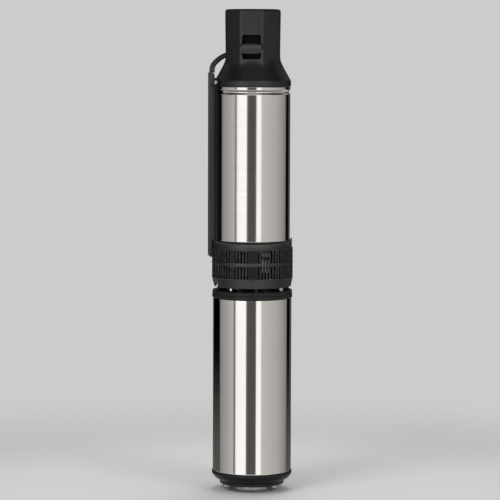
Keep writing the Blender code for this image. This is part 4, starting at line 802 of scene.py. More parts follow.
pump_tube = as_object("pump_tube", lathe(tube_profile(
    TUBE_RADIUS, TUBE_WALL, TUBE_FOOT, TUBE_TOP, 0.7, (TUBE_TOP - GROOVE_DROP, GROOVE_HALF, GROOVE_DEPTH),
), 192), 20)
piece(pump_tube, TUBE_STEEL, "pump", "shell_steel", "pump_shell")
motor_tube = as_object("motor_tube", lathe(tube_profile(
    MOTOR_RADIUS, MOTOR_WALL, MOTOR_STEEL_FOOT, MOTOR_STEEL_TOP, 0.9), 192), 20)
piece(motor_tube, MOTOR_STEEL, "pump", "shell_steel", "motor_shell")

# %% [markdown]
# ## The motor's ends
#
# Below, a black moulded bell rounds in from its rim to a flat face with three screws, and a
# bright cover keeps the rubber diaphragm in. Above, a second bell closes the tube and
# carries the pump. Both are turned profiles with rounded corners.


# %% Lower bell, cover and screws
def spun(outline, radius=0.5, segments=160, closed=True):
    points = soft_corners(outline, radius, closed=closed)
    return lathe([(r * MM, z * MM) for r, z in points], segments, closed)


def turned(name, outline, radius=0.5, segments=160, closed=True, crease=30):
    return as_object(name, spun(outline, radius, segments, closed), crease)


def drill(made, azimuth, circle_radius, radius, low, high):
    """An upright hole, in mm."""
    bit = rod(radius * MM, low * MM, high * MM)
    return cut(made, turned_to(bit, azimuth, circle_radius * MM, 0, along_radius=False))


lower_bell = turned("motor_foot", [
    (19.3, 7.8), (39.0, 7.8, 0.9), (39.0, 11.6, 0.8), (40.9, 12.6, 1.6), (44.2, 14.6, 2.5),
    (46.9, 17.6, 2.5), (48.6, 20.4, 0.9), (48.6, 23.5, 0.6), (46.1, 23.5, 0), (46.1, 45.0, 0),
    (27.0, 45.0), (27.0, 13.0), (19.3, 13.0),
])
FOOT_SCREWS, FOOT_CIRCLE = (-65, 55, 175), 34
for azimuth in FOOT_SCREWS:
    drill(lower_bell, azimuth, FOOT_CIRCLE, 1.95, 6.8, 17)
piece(lower_bell, BELL_NYLON, "pump", "black_plastic", "lower_end_bell")

foot_cover = turned("foot_cover", [
    (0, 0), (9.0, 0, 0), (9.6, 0.5, 0.3), (12.4, 0.5, 0.3), (13.0, 0, 0.3), (17.6, 0, 0.6), (19.0, 1.5, 0.8),
    (19.0, 12.7), (17.8, 12.7), (17.8, 1.2), (0, 1.2),
], 0.4, 96, closed=False)
piece(foot_cover, DULL_STEEL, "pump", "bright_steel", "diaphragm_cover")


def cross_recess(size, depth):
    """The cutter for a cross-shaped screw recess, opening towards +Z at height 0."""
    bars = []
    for turn in (0, 90):
        bar = bmesh.new()
        bmesh.ops.create_cube(bar, size=1, matrix=Matrix.Diagonal((size, size * 0.26, 2 * depth, 1)))
        for corner in bar.verts:
            if corner.co.z < 0:
                corner.co.x *= 0.45
        bmesh.ops.rotate(bar, verts=bar.verts, matrix=Matrix.Rotation(math.radians(turn + 45), 3, "Z"))
        bars.append(bar)
    return bars


foot_screw_outline = [
    (0, -3.8), (1.8, -3.8, 0.4), (2.9, -3.5, 0.6), (3.9, -2.4, 0.5), (3.9, 0, 0.2), (1.6, 0, 0),
    (1.6, 8.0, 0.5), (0, 8.6),
]
for number, azimuth in enumerate(FOOT_SCREWS, 1):
    screw = turned(f"foot_screw_{number}", foot_screw_outline, 0.3, 48, closed=False)
    for bar in cross_recess(4.0 * MM, 1.4 * MM):
        bmesh.ops.rotate(bar, verts=bar.verts, matrix=Matrix.Rotation(math.pi, 3, "X"))
        bmesh.ops.translate(bar, verts=bar.verts, vec=(0, 0, -3.8 * MM))
        cut(screw, bar)
    screw.data.transform(Matrix.Translation(at(azimuth, FOOT_CIRCLE * MM, 7.5 * MM)))
    piece(screw, DULL_STEEL, "pump", "bright_steel", f"bottom_screw_{number}")

# %% Upper bell
RIM_FOOT, RIM_TOP = MOTOR_STEEL_TOP + 0.3, FLANGE_FOOT - 0.3
upper_bell = turned("motor_top", [
    (11.0, 242.5), (25.0, 242.5, 0.6), (25.0, RIM_TOP, 0), (RIM_RADIUS, RIM_TOP, 0.35),
    (RIM_RADIUS, RIM_FOOT, 0.8), (46.1, RIM_FOOT, 0), (46.1, 224.2, 0), (18.25, 224.2), (18.25, 213.5),
    (13.25, 213.5), (13.25, 228.8, 0), (11.0, 228.8, 0),
])
STUDS, STUD_CIRCLE, STUD_HOLE = (-39, 51, 141, 231), 38.1, 4.2
LEAD_SIDE, PLUG_CIRCLE = -90, 34.7
for azimuth in STUDS:
    drill(upper_bell, azimuth, STUD_CIRCLE, STUD_HOLE, 226.2, 241)
drill(upper_bell, LEAD_SIDE, PLUG_CIRCLE, 4.6, 225.2, 241)
piece(upper_bell, BELL_NYLON, "pump", "black_plastic", "upper_end_bell")

# %% [markdown]
# ## Bracket, studs and nuts
#
# The bracket stands on the motor: a round flange, five upright ribs and a crown that carries the
# pump's tube. Through the slots of the strainer one looks at these ribs and at the coupling. Four
# studs come up through the flange, and their bright nuts show in the gap below the strainer.


# %% Bracket
def flat_plate(outline, half, azimuth):
    """An upright plate in a plane through the axis; the outline is (radius, height) in mm."""
    bm = pulled([(r * MM, -half * MM, z * MM) for r, z in outline], 1, half * MM)
    bmesh.ops.rotate(bm, verts=bm.verts, matrix=Matrix.Rotation(math.radians(azimuth - 90), 3, "Z"))
    return bm


FLANGE_TOP = FLANGE_FOOT + 4.8
bracket = as_object("bracket", spun([
    (25.3, FLANGE_FOOT - 0.2), (FLANGE_RADIUS, FLANGE_FOOT - 0.2, 0.35), (FLANGE_RADIUS, FLANGE_TOP, 1.3),
    (25.3, FLANGE_TOP),
]))
CROWN_FOOT = FLANGE_FOOT + 52.4
fuse(bracket, spun([
    (16.0, 309.9), (28.0, 309.9), (40.75, CROWN_FOOT, 2), (45.75, CROWN_FOOT), (45.75, SLEEVE_TOP - 0.3),
    (43.9, SLEEVE_TOP - 0.3, 0), (43.9, CROWN_TOP), (16.0, CROWN_TOP),
]))
RIB = [
    (27.5, 243.5), (44.35, 243.5), (44.35, 257.7), (46.75, 260.7), (46.75, 291.2), (44.75, 294.2),
    (38.75, 294.2), (30.5, 280.2),
]
RIB_HALF, RIBS = 1.8, (-110, -65, 6, 96, 186)
for azimuth in RIBS:
    fuse(bracket, flat_plate(RIB, RIB_HALF, azimuth))
for azimuth in STUDS:
    drill(bracket, azimuth, STUD_CIRCLE, STUD_HOLE, 238, 248)
drill(bracket, LEAD_SIDE, PLUG_CIRCLE, 5.5, 238, 248)
drill(bracket, LEAD_SIDE, 49.6, 4.5, 290, 306)  # the lead's groove in the crown
soften(bracket, 0.3 * MM, 1)
piece(bracket, BELL_NYLON, "pump", "black_plastic", "suction_bracket")

# %% Studs with their threads, and the nuts
NUT_FLATS, NUT_HEIGHT, STUD_RADIUS = 12.7, 6.8, 3.9
NUT_TURNS = (-12, -8, 17, 5)  # each nut was tightened to another angle


def hexagon_nut():
    corner = NUT_FLATS / 2 / math.cos(math.pi / 6)
    turns = [math.radians(60 * k) for k in range(6)]
    flats = [(corner * MM * math.cos(turn), corner * MM * math.sin(turn)) for turn in turns]
    nut = as_object("nut", prism(flats, 0, NUT_HEIGHT * MM))
    dome = [
        (0, -0.1), (corner - 0.9, -0.1), (corner + 0.2, 0.7), (corner + 0.2, NUT_HEIGHT - 0.7),
        (corner - 0.9, NUT_HEIGHT + 0.1), (0, NUT_HEIGHT + 0.1),
    ]
    combine(nut, spun(dome, 0, 72, closed=False), "INTERSECT")
    bore = STUD_RADIUS + 0.3
    mouth = bore + 0.8
    way_through = [
        (0, -1), (mouth, -1), (mouth, 0), (bore, 0.8), (bore, NUT_HEIGHT - 0.8), (mouth, NUT_HEIGHT),
        (mouth, NUT_HEIGHT + 1), (0, NUT_HEIGHT + 1),
    ]
    cut(nut, spun(way_through, 0, 48, closed=False))
    return soften(nut, 0.15 * MM, 1, 25)


def threaded_rod(radius, low, thread_from, high, pitch=1.25):
    """A stud: plain below, with ridges all the way up its end."""
    outline = [(0, low), (radius, low, 0), (radius, thread_from, 0)]
    z = thread_from
    while z + pitch < high - 0.6:
        outline += [(radius - 0.55, z + pitch * 0.5, 0), (radius, z + pitch, 0)]
        z += pitch
    outline += [(radius - 0.7, high, 0), (0, high)]
    return outline


NUT_SEAT = FLANGE_TOP + 0.3
STUD_LEVELS = (226.5, 242.0, 255.5)
for number, azimuth in enumerate(STUDS, 1):
    stud = turned(f"stud_{number}", threaded_rod(STUD_RADIUS, *STUD_LEVELS), 0, 48, closed=False, crease=20)
    stud.data.transform(Matrix.Translation(at(azimuth, STUD_CIRCLE * MM, 0)))
    piece(stud, BRIGHT_STEEL, "pump", "bright_steel", f"motor_stud_{number}")
    nut = hexagon_nut()
    nut.name = nut.data.name = f"nut_{number}"
    seated = Matrix.Rotation(math.radians(azimuth + NUT_TURNS[number - 1]), 4, "Z")
    nut.data.transform(Matrix.Translation(at(azimuth, STUD_CIRCLE * MM, NUT_SEAT * MM)) @ seated)
    piece(nut, BRIGHT_STEEL, "pump", "bright_steel", f"stud_nut_{number}")

# %% [markdown]
# ## The strainer
#
# A moulded sleeve with two rows of narrow slots keeps gravel out of the impellers. Its wall is laid
# out as a grid, in the way of the solid: every column is either wall or slot. Both ends of each slot
# are drawn as small arches, so they come out round. A fine bevel then takes the hardness off all the
# edges, as the mould does.

# %% Where the slots are
STRAINER_TURN = 1.3
SLOT_PITCH, FIRST_SLOT, SLOTS_PER_SIDE = 4.703, 7.7, 36
SLOT_WIDTH, SLOT_HEIGHT, SLOT_RIB = 1.9, 15.5, 3.7
SLOT_HALF = math.degrees(SLOT_WIDTH / 2 / SLEEVE_RADIUS)
LEAD_HALF = math.degrees(4.5 / SLEEVE_RADIUS)
LEAD_AT = (-90 - STRAINER_TURN) % 360
SHOULDERS = {FIRST_SLOT: 2.4, FIRST_SLOT + SLOT_PITCH: 0.9}  # the slots beside the front pillar end lower


def slot_azimuths():
    left = [-(FIRST_SLOT + SLOT_PITCH * k) for k in range(SLOTS_PER_SIDE) if k % 6 != 5]
    right = [FIRST_SLOT + SLOT_PITCH * k for k in range(SLOTS_PER_SIDE) if k % 6 or not k]
    turns = sorted(turn % 360 for turn in left + right)
    clear = LEAD_HALF + SLOT_HALF + 1.2
    return [turn for turn in turns if abs((turn - LEAD_AT + 180) % 360 - 180) > clear]


def strainer_columns():
    """(azimuth, kind, place across the slot from -1 to 1, shoulder) of every column line."""
    spans = [(turn, SLOT_HALF, "slot") for turn in slot_azimuths()] + [(LEAD_AT, LEAD_HALF, "lead")]
    spans.sort()
    columns = []
    for number, (middle, half, kind) in enumerate(spans):
        steps = 6 if kind == "slot" else 2
        aside = abs((middle + 180) % 360 - 180)
        lower = next((drop for turn, drop in SHOULDERS.items() if abs(turn - aside) < 0.1), 0)
        for k in range(steps + 1):
            across = 2 * k / steps - 1
            columns.append((middle + half * across, kind if k < steps else "wall", across, lower))
        nearest, near_half = spans[(number + 1) % len(spans)][:2]
        wide = (nearest - near_half - middle - half) % 360
        front = nearest == spans[0][0]
        extra = int(wide // (0.55 if front else 2.4))
        for k in range(extra):
            columns.append((middle + half + wide * (k + 1) / (extra + 1), "wall", 1, 0))
    return columns


# %% [markdown]
# The wall stands a quarter of a millimetre inside the widest place, so that the bead between the two
# rows, the lip below them and the two bowed ridges on the front pillar can stand proud of it, as they
# do on the moulding. The levels close to an edge keep the shading of the long faces beside it straight.

# %% Levels and relief
WALL_RADIUS, BEAD_RADIUS = SLEEVE_RADIUS - 0.26, SLEEVE_RADIUS - 0.08
LIP_DIP = 2.6  # the ring's upper edge sinks this much towards the front
BORE = SLEEVE_RADIUS - 1.9
ROW_1 = SLEEVE_FOOT + 11.6
ROW_2 = ROW_1 + SLOT_HEIGHT + SLOT_RIB
RIDGE_NEAREST, RIDGE_BOW, RIDGE_HEIGHT, RIDGE_HALF = 1.7, 2.6, 0.18, 0.9


def strainer_levels():
    """(outer radius, inner radius, outer height, inner height, arch: 1 at a slot's top, -1 at its foot)"""
    def ring(outer, inner, z, inner_z=None, arch=0):
        return outer, inner, z, z if inner_z is None else inner_z, arch

    def row(foot):
        between = [ring(WALL_RADIUS, BORE, foot + SLOT_HEIGHT * k / 6) for k in range(1, 6)]
        first = ring(WALL_RADIUS, BORE, foot, arch=-1)
        return [first, *between, ring(WALL_RADIUS, BORE, foot + SLOT_HEIGHT, arch=1)]

    low, rib, bead = SLEEVE_FOOT, ROW_1 + SLOT_HEIGHT, BEAD_RADIUS
    top = ROW_2 + SLOT_HEIGHT
    return [
        ring(bead - 2.6, BORE - 1.9, low),
        ring(bead - 2.2, BORE - 2.2, low + 0.4),
        ring(bead - 2.13, BORE - 2.15, low + 0.8),
        ring(bead - 0.57, BORE - 0.4, low + 9.6),
        ring(bead - 0.5, BORE - 0.3, low + 10.0),
        ring(bead, BORE, low + 10.5),
        ring(bead, BORE, low + 11.1),
        *row(ROW_1),
        ring(bead - 0.1, BORE, rib + 0.5),
        ring(bead, BORE, rib + 1.2),
        ring(bead, BORE, rib + 2.4),
        ring(bead - 0.1, BORE, rib + 3.2),
        *row(ROW_2),
        ring(WALL_RADIUS - 0.1, BORE, top + 0.8),
        ring(bead - 1.2, BORE, top + 1.3, top + 1.6),
        ring(bead - 1.2, BORE - 1.2, top + 1.9, top + 2.2),
        ring(bead - 1.15, BORE - 1.2, SLEEVE_TOP - 0.7),
        ring(bead - 1.6, BORE - 1.0, SLEEVE_TOP),
    ]


def bowed_ridges(turn, z):
    """How far the two ridges on the front pillar stand out, in mm: they bow towards each other like )(."""
    turn = (turn + 180) % 360 - 180
    for foot in (ROW_1, ROW_2):
        share = 2 * (z - foot) / SLOT_HEIGHT - 1
        if abs(turn) < FIRST_SLOT - SLOT_HALF and abs(share) < 1.01:
            middle = RIDGE_NEAREST + RIDGE_BOW * share**2
            away = abs(abs(math.radians(turn) * SLEEVE_RADIUS) - middle)
            return RIDGE_HEIGHT * max(0.0, 1 - away / RIDGE_HALF)
    return 0.0


# %% Building the wall
def strainer():
    columns, levels = strainer_columns(), strainer_levels()
    count, last = len(columns), len(levels) - 2
    feet = [i for i, level in enumerate(levels) if level[4] == -1]
    tops = [i for i, level in enumerate(levels) if level[4] == 1]
    slot_rows = {row for foot, top in zip(feet, tops) for row in range(foot, top)}
    bm = bmesh.new()
    outer, inner = [], []
    for number, (wide, bore, outer_z, inner_z, arch) in enumerate(levels):
        for wall, radius, z in ((outer, wide, outer_z), (inner, bore, inner_z)):
            line = []
            for turn, kind, across, lower in columns:
                lift = 0.0
                if arch and abs(across) < 1 and kind == "slot":
                    depth = SLOT_WIDTH / 2 if arch > 0 else 0.45
                    lift = -arch * depth * (1 - math.sqrt(max(1 - across**2, 0)))
                if number == tops[-1]:
                    lift -= lower
                if number >= len(levels) - 2:
                    lift -= LIP_DIP * max(math.cos(math.radians(STRAINER_TURN + turn)), 0) ** 2
                out = radius + (bowed_ridges(turn, z) if wall is outer else 0)
                line.append(bm.verts.new(at(STRAINER_TURN + turn, out * MM, (z + lift) * MM)))
            wall.append(line)

    def solid(row, column):
        if row < 0 or row > last:
            return False
        kind = columns[column % count][1]
        if kind == "slot":
            return row not in slot_rows
        return kind == "wall" or row < feet[-1]

    for row in range(last + 1):
        for column in range(count):
            if not solid(row, column):
                continue
            nxt = (column + 1) % count
            lo, ho, li, hi = outer[row], outer[row + 1], inner[row], inner[row + 1]
            bm.faces.new((lo[column], lo[nxt], ho[nxt], ho[column]))
            bm.faces.new((li[column], hi[column], hi[nxt], li[nxt]))
            if not solid(row - 1, column):
                bm.faces.new((lo[column], li[column], li[nxt], lo[nxt]))
            if not solid(row + 1, column):
                bm.faces.new((ho[column], ho[nxt], hi[nxt], hi[column]))
            if not solid(row, column - 1):
                bm.faces.new((lo[column], ho[column], hi[column], li[column]))
            if not solid(row, column + 1):
                bm.faces.new((lo[nxt], li[nxt], hi[nxt], ho[nxt]))
    stray = [corner for corner in bm.verts if not corner.link_faces]
    bmesh.ops.delete(bm, geom=stray, context="VERTS")
    return as_object("strainer", bm, 30)


sleeve = strainer()
print("strainer wall", len(sleeve.data.polygons), "faces")

# %% [markdown]
# On the lead's side the lower edge is broken away in steps, where the lead comes out of the motor: one
# looks right through there. Across from it a small hook on the ring holds the strainer to the tube.

# %% The lead's opening and the hook
OPENING = (
    (-26.5, -1.5), (-25.3, 2.8), (-21, 5.2), (-16.5, 4.6), (-14, 0.7), (-10, 0.5), (-7, 5.0), (7, 5.0),
    (11, 0.6), (15, 0.8), (18, 5.2), (24, 3.0), (25, -1.5),
)
OPENING_DEPTH = 36  # the cut ends this far from the axis, clear of the wall's inner face
opening = pulled([
    (-(SLEEVE_RADIUS + 3) * MM, y * MM, (SLEEVE_FOOT + z) * MM) for y, z in OPENING
], 0, -OPENING_DEPTH * MM)
bmesh.ops.recalc_face_normals(opening, faces=opening.faces)
cut(sleeve, opening)
HOOK_OUTER, HOOK_INNER = 47.7, 46.5
hook_turns = [math.radians(-5 + 2 * k) for k in range(6)]
hook = [(HOOK_OUTER * math.cos(a) * MM, HOOK_OUTER * math.sin(a) * MM) for a in hook_turns]
hook += [(HOOK_INNER * math.cos(a) * MM, HOOK_INNER * math.sin(a) * MM) for a in reversed(hook_turns)]
fuse(sleeve, prism(hook, (SLEEVE_TOP - 2) * MM, (SLEEVE_TOP + 2.6) * MM))
soften(sleeve, 0.12 * MM, 1, 50, 40)
piece(sleeve, SIEVE_NYLON, "pump", "black_plastic", "intake_strainer")
# Painted shade: the slot walls and the inner faces take the darker nylon; the outer faces of the slotted
# rows take the slot nylon.
sleeve.data.materials.append(SLOT_NYLON)
sleeve.data.materials.append(PAINTED_SHADE_NYLON)
for face in sleeve.data.polygons:
    z = face.center.z / MM
    outward = face.normal.xy.dot(face.center.xy.normalized())
    if ROW_1 < z < ROW_1 + SLOT_HEIGHT or ROW_2 < z < ROW_2 + SLOT_HEIGHT:
        face.material_index = 1 if outward > 0.6 else 2
    elif outward < -0.6:
        face.material_index = 2

# %% [markdown]
# ## The cable guard
#
# A long moulded channel covers the lead. Its two flanges lie on the steel, its foot hooks behind the
# strainer's ring and one screw holds its ear to the head. The section is drawn once, extruded, and
# then trimmed by the shapes it fits over.

# %% Guard section and trimming
GUARD_AZIMUTH, GUARD_REACH, GUARD_WALL = -90, 53.9, 1.1
CHANNEL_HALF, GUARD_CORNER = 4.7, 1.5
FLANGE_SEAT, FLANGE_BACK, FLANGE_SPREAD = TUBE_RADIUS + 0.3, TUBE_RADIUS + 1.5, 28
SCREW_AZIMUTH, SCREW_Z = -65, TUBE_TOP + 5.3


def guard_section():
    outside = CHANNEL_HALF + GUARD_WALL
    spread = math.radians(FLANGE_SPREAD)

    def arc(radius, near, steps=10):
        first = math.asin(near / radius)
        turns = [first + (spread - first) * i / steps for i in range(steps + 1)]
        return [(radius * math.cos(turn), radius * math.sin(turn)) for turn in turns]

    outer = arc(FLANGE_BACK, outside)[::-1]
    for k in range(6):
        turn = math.radians(90 * k / 5)
        back, aside = GUARD_CORNER * (1 - math.sin(turn)), GUARD_CORNER * (1 - math.cos(turn))
        outer.append((GUARD_REACH - back, outside - aside))
    inner = arc(FLANGE_SEAT, CHANNEL_HALF)[::-1] + [(GUARD_REACH - GUARD_WALL, CHANNEL_HALF)]
    lower = [(x, -y) for x, y in reversed(outer)]
    whole = outer + lower + [(x, -y) for x, y in inner] + inner[::-1]
    return [(x * MM, y * MM) for x, y in whole]


guard_bm = prism(guard_section(), GUARD_FOOT * MM, GUARD_TOP * MM)
facing = Matrix.Rotation(math.radians(GUARD_AZIMUTH - 90), 3, "Z")
bmesh.ops.rotate(guard_bm, verts=guard_bm.verts, matrix=facing)
guard = as_object("guard", guard_bm)
fuse(guard, turned_to(rod(4.4 * MM, 0, 2.0 * MM, 48), SCREW_AZIMUTH, 46.5 * MM, SCREW_Z * MM))
BAND_SEAT = BAND_RADIUS + 0.3
cut(guard, spun([
    (0, 283), (49.45, 283), (49.45, 304.8), (FLANGE_SEAT - 0.1, 304.8), (FLANGE_SEAT - 0.1, 489.3),
    (BAND_SEAT, 489.3), (BAND_SEAT, 499.6), (BAND_SEAT + 1.5, 500.6), (BAND_SEAT + 1.5, 507.3), (0, 507.3),
], 0, 160, closed=False))
cut(guard, spun([(50.4, 283, 0), (55.8, 283, 0), (55.8, 288.5, 0)], 0, 160))
cut(guard, turned_to(rod(1.8 * MM, 0, 8 * MM), SCREW_AZIMUTH, 45 * MM, SCREW_Z * MM))
soften(guard, 0.35 * MM, 2, 40)
piece(guard, BLACK_NYLON, "pump", "black_plastic", "cable_guard")
# Painted shade: the flange's edge takes the darker nylon, standing in for its shadow where it meets the
# steel.
guard.data.materials.append(PAINTED_SHADE_NYLON)
EDGE_FROM = GUARD_AZIMUTH + FLANGE_SPREAD - 3.2
for face in guard.data.polygons:  # the flange's edge lies in its own shadow on the steel
    from_front = math.degrees(math.atan2(face.center.x, -face.center.y))
    near_edge = from_front > EDGE_FROM and face.center.z < TUBE_TOP * MM
    face.material_index = int(near_edge)

# %% The guard's screw
screw = turned("ear_screw", [
    (0, -8), (1.5, -7, 0), (1.5, 0, 0), (2.75, 0, 0.1), (2.75, 0.9, 0.4), (2.2, 1.7, 0.5), (0, 2.1),
], 0.3, 48, closed=False)
for bar in cross_recess(3.2 * MM, 1.1 * MM):
    bmesh.ops.translate(bar, verts=bar.verts, vec=(0, 0, 2.1 * MM))
    cut(screw, bar)
soften(screw, 0.08 * MM, 1, 40)
screw_place = bmesh.new()
screw_place.from_mesh(screw.data)
turned_to(screw_place, SCREW_AZIMUTH, 48.8 * MM, SCREW_Z * MM)
screw_place.to_mesh(screw.data)
screw_place.free()
screw.data.set_sharp_from_angle(angle=math.radians(30))
piece(screw, BRIGHT_STEEL, "pump", "bright_steel", "guard_screw")

# %% [markdown]
# ## The outlet head
#
# The head is one moulding: a band that stands on the tube, a cone, and an eight-sided neck for
# a wrench. The neck simply stands in the cone, and where its flats meet the slope the curved
# steps appear by themselves. Booleans leave long thin faces on such a joint, so the outside is
# computed instead: at each height and azimuth the wall stands where the neck or the cone reaches
# further, and a high power mean melts the two together with a small fillet.

# %% The outside as one function
NECK_TURN = -3.3
NECK_FOOT, NECK_LOW_FLATS, NECK_FLATS = TUBE_TOP + 19.2, 64.2, 65.9
RIM_CHAMFER, RIM_SLOPE = 2.8, 1.3
CROWN_RADIUS, CROWN_ROUND = 31.6, 3.6  # the rim is also turned round, so the corners end lower
BAND_TOP, CONE_TOP, CONE_TOP_RADIUS = TUBE_TOP + 7.0, TUBE_TOP + 31.2, 32.5
CORNER_POWER, MELT_POWER = 48, 20
HEAD_COLUMNS = 256

# the turned body from its foot to the top of the cone, and on under the neck
BODY = soft_corners([
    (43.9, HEAD_FOOT, 0.4), (43.9, 476.2, 0), (41.7, 476.2, 0), (41.7, 479.0, 0), (43.9, 479.0, 0),
    (43.9, 479.8, 0), (42.1, 482.0, 0.6), (42.1, 484.2, 0.6), (43.9, 486.4, 0), (43.9, TUBE_TOP + 0.3, 0),
    (BAND_RADIUS, TUBE_TOP + 0.3, 0.5), (BAND_RADIUS, BAND_TOP, 0.7), (CONE_TOP_RADIUS, CONE_TOP, 0),
], 0.4, closed=False)


def facets(turn):
    """1 in the middle of a flat and less towards the soft corners of the eight-sided neck."""
    middles = [math.radians(NECK_TURN + 45 * k) for k in range(8)]
    total = sum(max(math.cos(turn - middle), 0) ** CORNER_POWER for middle in middles)
    return total ** (1 / CORNER_POWER)


def neck_flats(z):
    rise = (z - NECK_FOOT) / (HEAD_TOP - RIM_CHAMFER - NECK_FOOT)
    flats = NECK_LOW_FLATS + (NECK_FLATS - NECK_LOW_FLATS) * min(rise, 1)
    past = max(z - (HEAD_TOP - RIM_CHAMFER), 0) / RIM_CHAMFER
    return flats - 2 * RIM_SLOPE * past - 1.3 * max(past - 0.8, 0) / 0.2


def head_solid():
    slope = (CONE_TOP_RADIUS - BAND_RADIUS) / (CONE_TOP - BAND_TOP)
    rings = [(r, z, False) for r, z in BODY[:-1]]
    levels = [BAND_TOP + 1.2 + 2.4 * k for k in range(4)] + [NECK_FOOT - 1 + 0.7 * k for k in range(26)]
    levels += [NECK_FOOT + 20 + 4.6 * k for k in range(11)]
    levels += [HEAD_TOP - RIM_CHAMFER - CROWN_ROUND * 0.4 * share for share in (1, 0.5, 0.2)]
    levels += [HEAD_TOP - RIM_CHAMFER * share for share in (1, 0.8, 0.6, 0.4, 0.2, 0.08, 0)]
    rings += [(max(BAND_RADIUS + slope * (z - BAND_TOP), 1), z, z > NECK_FOOT - 4) for z in levels]
    bm = bmesh.new()
    loops = []
    for body, z, with_neck in rings:
        loop = []
        for k in range(HEAD_COLUMNS):
            turn = math.tau * k / HEAD_COLUMNS
            reach = body
            if with_neck:
                neck = neck_flats(z) / 2 / facets(turn)
                reach = (body**MELT_POWER + neck**MELT_POWER) ** (1 / MELT_POWER)
                sunk = max(z - (HEAD_TOP - CROWN_ROUND), 0) / CROWN_ROUND
                crown = CROWN_RADIUS + CROWN_ROUND * math.sqrt(max(1 - sunk**2, 0))
                reach = min(reach, crown) if z > CONE_TOP + 20 else reach
            loop.append(bm.verts.new((reach * math.cos(turn) * MM, reach * math.sin(turn) * MM, z * MM)))
        loops.append(loop)
    return skin(bm, loops)


# %% [markdown]
# The outlet is a female pipe thread. One can look straight into it, so it is cut as a true helix.

# %% Waterway and thread
def thread_cutter(radius, depth, pitch, low, high, segments=72):
    """A solid whose side is one helical ridge: it leaves a female thread."""
    bm = bmesh.new()
    steps = 8
    rows = int((high - low) / pitch * steps)
    rings = []
    for row in range(rows + 1):
        z = low + (high - low) * row / rows
        points = []
        for k in range(segments):
            phase = (z / pitch + k / segments) % 1
            ridge = depth * max(0.0, 1 - abs(phase - 0.5) * 2.6)
            turn, out = math.tau * k / segments, radius + ridge
            points.append(bm.verts.new((out * math.cos(turn) * MM, out * math.sin(turn) * MM, z * MM)))
        rings.append(points)
    return skin(bm, rings)


THREAD_PITCH, THREAD_FOOT = 2.309, HEAD_TOP - 25.7
head = as_object("outlet_head", head_solid())
cut(head, spun([
    (0, HEAD_TOP + 1), (22.35, HEAD_TOP + 1), (20.75, HEAD_TOP - 1.2), (20.75, 554.2), (19.0, 553.2),
    (19.0, 516.8), (22.0, 516.8), (22.0, 491.8), (30.3, 491.8), (30.3, 486.8), (38.9, 473.8), (0, 473.8),
], 0, 96, closed=False))
cut(head, thread_cutter(20.7, 1.1, THREAD_PITCH, THREAD_FOOT, HEAD_TOP + 1.3))
print("head", len(head.data.polygons), "faces after the waterway and thread")

# %% [markdown]
# A window in the front flat is bridged by a bar, and the safety rope is tied round it. The bar is
# barrel-shaped and the rope has polished it, so it is a piece of its own with a smoother finish. A notch
# on each side of the window lets the mould's slides meet behind the bar.

# %% Window and rope bar
WINDOW_WIDTH, WINDOW_HEIGHT, WINDOW_DEPTH = 22.5, 29.5, 11.6
WINDOW_MIDDLE = CONE_TOP + 1.5 + WINDOW_HEIGHT / 2
BAR_HEIGHT, BAR_MIDDLE, BAR_SUNK, BAR_HALF_DEPTH = 15.8, WINDOW_MIDDLE - 1.55, 4.4, 3.9
BAR_SQUARENESS = 0.6  # 1 is an oval, less is a box with round corners
NECK_FACE = neck_flats(WINDOW_MIDDLE) / 2
NOTCH_MIDDLE = BAR_MIDDLE + 3.4


def rounded_block(width, height, corner, depth, segments=6):
    half_x, half_y = width / 2 * MM, height / 2 * MM
    corners = [(-half_x, -half_y), (half_x, -half_y), (half_x, half_y), (-half_x, half_y)]
    bm = prism(corners, 0, depth * MM)
    bmesh.ops.bevel(
        bm, geom=upright_edges(bm, depth * MM / 2), offset=corner * MM, segments=segments,
        profile=0.5, affect="EDGES",
    )
    return bm


window = rounded_block(WINDOW_WIDTH, WINDOW_HEIGHT, 3.0, WINDOW_DEPTH + 3)
cut(head, turned_to(window, NECK_TURN, (NECK_FACE - WINDOW_DEPTH) * MM, WINDOW_MIDDLE * MM))
for side, tall in ((-1, 3.4), (1, 6.0)):
    notch = rounded_block(6.4, tall, 0.9, 6)
    bmesh.ops.translate(notch, verts=notch.verts, vec=(side * WINDOW_WIDTH / 2 * MM, 0, 0))
    cut(head, turned_to(notch, NECK_TURN, (NECK_FACE - 4) * MM, (NOTCH_MIDDLE - (tall - 3.4) / 2) * MM))


def rope_bar():
    """A barrel: thickest in its middle, with its front sloping back towards the top."""
    half, reach = BAR_HEIGHT / 2, WINDOW_WIDTH / 2 + 0.5
    across, around = 16, 22
    bm = bmesh.new()
    rings = []
    for i in range(across + 1):
        along = 2 * i / across - 1
        bulge = 1 - 0.07 * along**4 - 0.05 * along**2
        ring = []
        for k in range(around):
            turn = math.tau * k / around
            up = half * bulge * math.copysign(abs(math.sin(turn)) ** BAR_SQUARENESS, math.sin(turn))
            out = math.copysign(abs(math.cos(turn)) ** BAR_SQUARENESS, math.cos(turn))
            out *= BAR_HALF_DEPTH * bulge
            out -= max(up + 4, 0) ** 2 / 75 if out > 0 else 0
            front = -(NECK_FACE - BAR_SUNK + out) * MM
            ring.append(bm.verts.new((along * reach * MM, front, (BAR_MIDDLE + up) * MM)))
        rings.append(ring)
    skin(bm, rings)
    bmesh.ops.rotate(bm, verts=bm.verts, matrix=Matrix.Rotation(math.radians(NECK_TURN), 3, "Z"))
    return bm


cut(head, turned_to(rod(1.8 * MM, 0, 12 * MM), SCREW_AZIMUTH, 38 * MM, SCREW_Z * MM))
piece(head, BLACK_NYLON, "pump", "black_plastic", "discharge_head")
